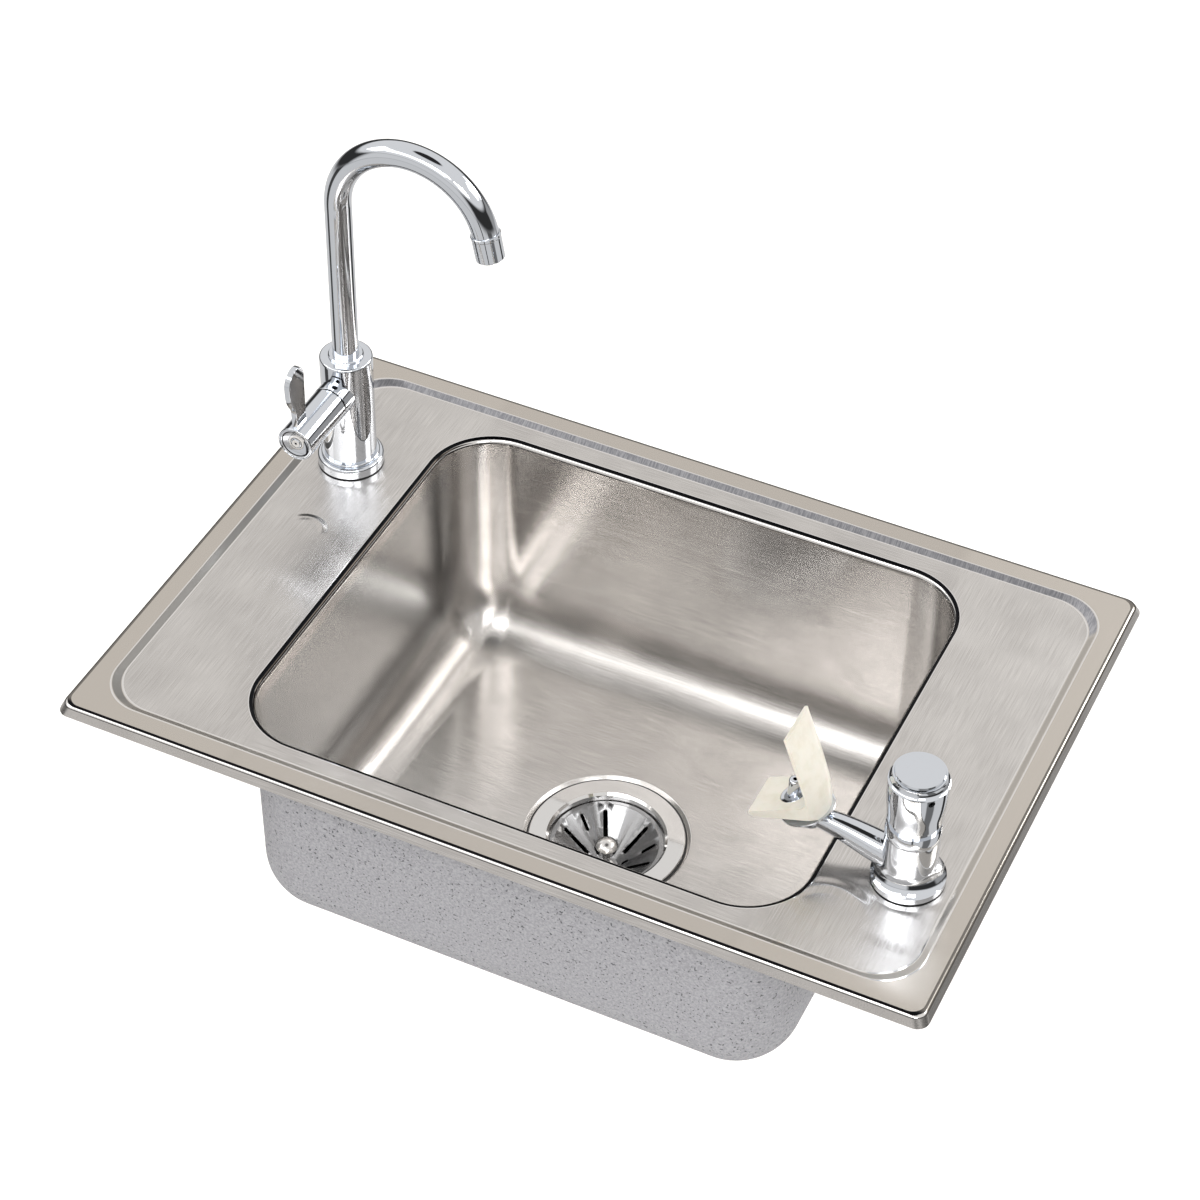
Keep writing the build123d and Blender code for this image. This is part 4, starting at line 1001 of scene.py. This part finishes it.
# Panels that light the rim's flange: direction, half width and softness in degrees, heights, light
WALL_PANELS = (
    (-106, 28, 16, -0.22, 0.2, 0.85),
    (44, 14, 14, -0.34, 0.1, 0.42),
)
PANEL_FADE = 0.08
# Softboxes: direction from the sink, distance and size in metres, watts
SOFTBOXES = (
    ("softbox_back", (0.50, 0.73, 0.46), 2.6, (0.9, 0.7), 22),
    ("softbox_right", (0.70, 0.35, 0.62), 2.4, (0.9, 0.7), 10),
    ("softbox_front", (0.50, -0.62, 0.60), 2.4, (0.7, 0.6), 12),
    ("softbox_left", (-0.75, -0.25, 0.6), 2.4, (0.9, 0.8), 5),
    ("softbox_wide", (-0.28, -0.66, 0.70), 2.1, (2.0, 0.5), 5.5),
    ("softbox_top", (0.02, -0.66, 0.75), 2.1, (1.1, 0.3), 8.5),
)


def aimed(name, direction, distance, across, power):
    """Soft white area light that stands in a direction from the sink and faces it."""
    deselect()
    away = Vector(direction).normalized()
    bpy.ops.object.light_add(type="AREA", location=away * distance)
    light = bpy.context.object
    light.name = name
    light.rotation_euler = away.to_track_quat("Z", "Y").to_euler()
    light.data.shape = "RECTANGLE"
    light.data.size, light.data.size_y = across
    light.data.energy = power


def floor_paint(colours):
    """Matt white studio floor that glows a little, so that it stays white at its far end."""

    def sockets(tree):
        roll = cells(tree, object_place(tree), 60 * MM)
        return {
            "Base Color": colours.floor,
            "Roughness": add(tree, "Math", (roll, 0.05, 0.87), operation="MULTIPLY_ADD"),
            "Emission Color": colours.floor,
            "Emission Strength": 0.3,
        }

    return new_material("floor_painted", sockets)


def studio_walls(tree):
    """Bright tent round the sink, dark near the horizon and straight overhead, with upright dark
    gaps below it that polished metal mirrors as lines, and panels at the horizon for the flange."""
    tree.nodes.clear()
    direction = add(tree, "TexCoord").outputs["Generated"]
    parts = add(tree, "SeparateXYZ", (direction,)).outputs
    height = parts["Z"]
    azimuth = add(tree, "Math", (parts["Y"], parts["X"]), operation="ARCTAN2")
    tent = add(tree, "MapRange", (height, 0.17, 0.31, 0.04, 0.97), **SMOOTH)
    ground = add(tree, "MapRange", (height, -0.34, -0.12, 0.8, 0.04), **SMOOTH)
    glow = add(tree, "Math", (tent, ground), operation="MAXIMUM")
    roof = add(tree, "MapRange", (height, 0.950, 0.972, 1, 0.03), **SMOOTH)
    glow = add(tree, "Math", (glow, roof), operation="MULTIPLY")
    low = add(tree, "MapRange", (height, -0.25, -0.15, 1, 0), **SMOOTH)
    for middle, half, dark, soft in WALL_GAPS:
        off = add(tree, "Math", (azimuth, radians(middle)), operation="SUBTRACT")
        off = add(tree, "Math", (off,), operation="ABSOLUTE")
        gap = add(tree, "MapRange", (off, radians(half), radians(half + soft), dark, 0), **SMOOTH)
        gap = add(tree, "Math", (gap, low), operation="MULTIPLY")
        left = add(tree, "Math", (1, gap), operation="SUBTRACT")
        glow = add(tree, "Math", (glow, left), operation="MULTIPLY")
    for middle, half, soft, low_z, high_z, light in WALL_PANELS:
        off = add(tree, "Math", (azimuth, radians(middle)), operation="SUBTRACT")
        off = add(tree, "Math", (off,), operation="ABSOLUTE")
        spread = (off, radians(half), radians(half + soft), light, 0)
        share = add(tree, "MapRange", spread, **SMOOTH)
        foot = add(tree, "MapRange", (height, low_z - PANEL_FADE, low_z, 0, 1), **SMOOTH)
        head = add(tree, "MapRange", (height, high_z, high_z + PANEL_FADE, 1, 0), **SMOOTH)
        share = add(tree, "Math", (share, foot), operation="MULTIPLY")
        share = add(tree, "Math", (share, head), operation="MULTIPLY")
        glow = add(tree, "Math", (glow, share), operation="MAXIMUM")
    sky = add(tree, "Background", {"Color": linear("#fffdfb"), "Strength": glow})
    add(tree, "OutputWorld", {"Surface": sky})


class SINK_OT_studio(bpy.types.Operator):
    """Pale floor, soft studio light and the photograph's camera"""

    bl_idname = "sink.studio"
    bl_label = "Studio"

    def execute(self, context):
        scene = context.scene
        scene.view_settings.view_transform = "Standard"
        deselect()
        place = (0, 0, CAD_BOX[0].z - FLOOR_DROP)
        bpy.ops.mesh.primitive_plane_add(size=FLOOR_SIZE, location=place)
        floor = context.object
        floor.name = "studio_floor"
        floor.data.materials.append(floor_paint(scene.sink_colours))
        floor.visible_glossy = False
        settle(floor)

        world = bpy.data.worlds.new("studio_walls")
        scene.world = world
        world.use_nodes = True
        studio_walls(world.node_tree)
        for softbox in SOFTBOXES:
            aimed(*softbox)

        azimuth = radians(CAMERA_AZIMUTH)
        elevation = radians(CAMERA_ELEVATION)
        roll = radians(CAMERA_ROLL)
        level = cos(elevation)
        back = Vector((sin(azimuth) * level, -cos(azimuth) * level, sin(elevation)))
        right = (-back).cross(Vector((0, 0, 1))).normalized()
        up = right.cross(-back)
        right, up = (
            cos(roll) * right + sin(roll) * up,
            cos(roll) * up - sin(roll) * right,
        )
        turn = Matrix((right, up, back)).transposed().to_4x4()
        deselect()
        bpy.ops.object.camera_add()
        camera = context.object
        camera.name = "photo_camera"
        camera.matrix_world = Matrix.Translation(CAMERA_PLACE) @ turn
        camera.data.sensor_width = SENSOR_MM
        camera.data.lens = FOCAL_PIXELS / PHOTO_PIXELS * SENSOR_MM
        camera.data.shift_x = -(CENTRE_PIXEL - PHOTO_PIXELS / 2) / PHOTO_PIXELS
        camera.data.clip_end = 20
        scene.camera = camera
        return {"FINISHED"}


class SINK_PT_panel(bpy.types.Panel):
    """Sidebar panel that lists the sink's pieces and sizes"""

    bl_idname = "SINK_PT_panel"
    bl_label = "Classroom sink"
    bl_space_type = "VIEW_3D"
    bl_region_type = "UI"
    bl_category = "Sink"

    def draw(self, context):
        layout = self.layout
        for step in STEPS:
            layout.operator(step.bl_idname)
        scene = context.scene
        for group in (scene.sink_sheet, scene.sink_fittings, scene.sink_colours):
            for name in group.bl_rna.properties.keys():
                if name not in ("rna_type", "name"):
                    layout.prop(group, name)


STEPS = (
    SINK_OT_carried,
    SINK_OT_sheet,
    SINK_OT_seal,
    SINK_OT_basket,
    SINK_OT_lever,
    SINK_OT_guard,
    SINK_OT_spring,
    SINK_OT_studio,
)
CLASSES = (SinkSheetSizes, SinkFittingSizes, SinkColours, *STEPS, SINK_PT_panel)


def register():
    for kind in CLASSES:
        bpy.utils.register_class(kind)
    bpy.types.Scene.sink_sheet = bpy.props.PointerProperty(type=SinkSheetSizes)
    bpy.types.Scene.sink_fittings = bpy.props.PointerProperty(type=SinkFittingSizes)
    bpy.types.Scene.sink_colours = bpy.props.PointerProperty(type=SinkColours)


def unregister():
    del bpy.types.Scene.sink_colours
    del bpy.types.Scene.sink_fittings
    del bpy.types.Scene.sink_sheet
    for kind in reversed(CLASSES):
        bpy.utils.unregister_class(kind)


def main():
    """Registers the add-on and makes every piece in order."""
    register()
    for step in STEPS:
        group, name = step.bl_idname.split(".")
        getattr(getattr(bpy.ops, group), name)()
    deselect()


if __name__ == "__main__":
    main()
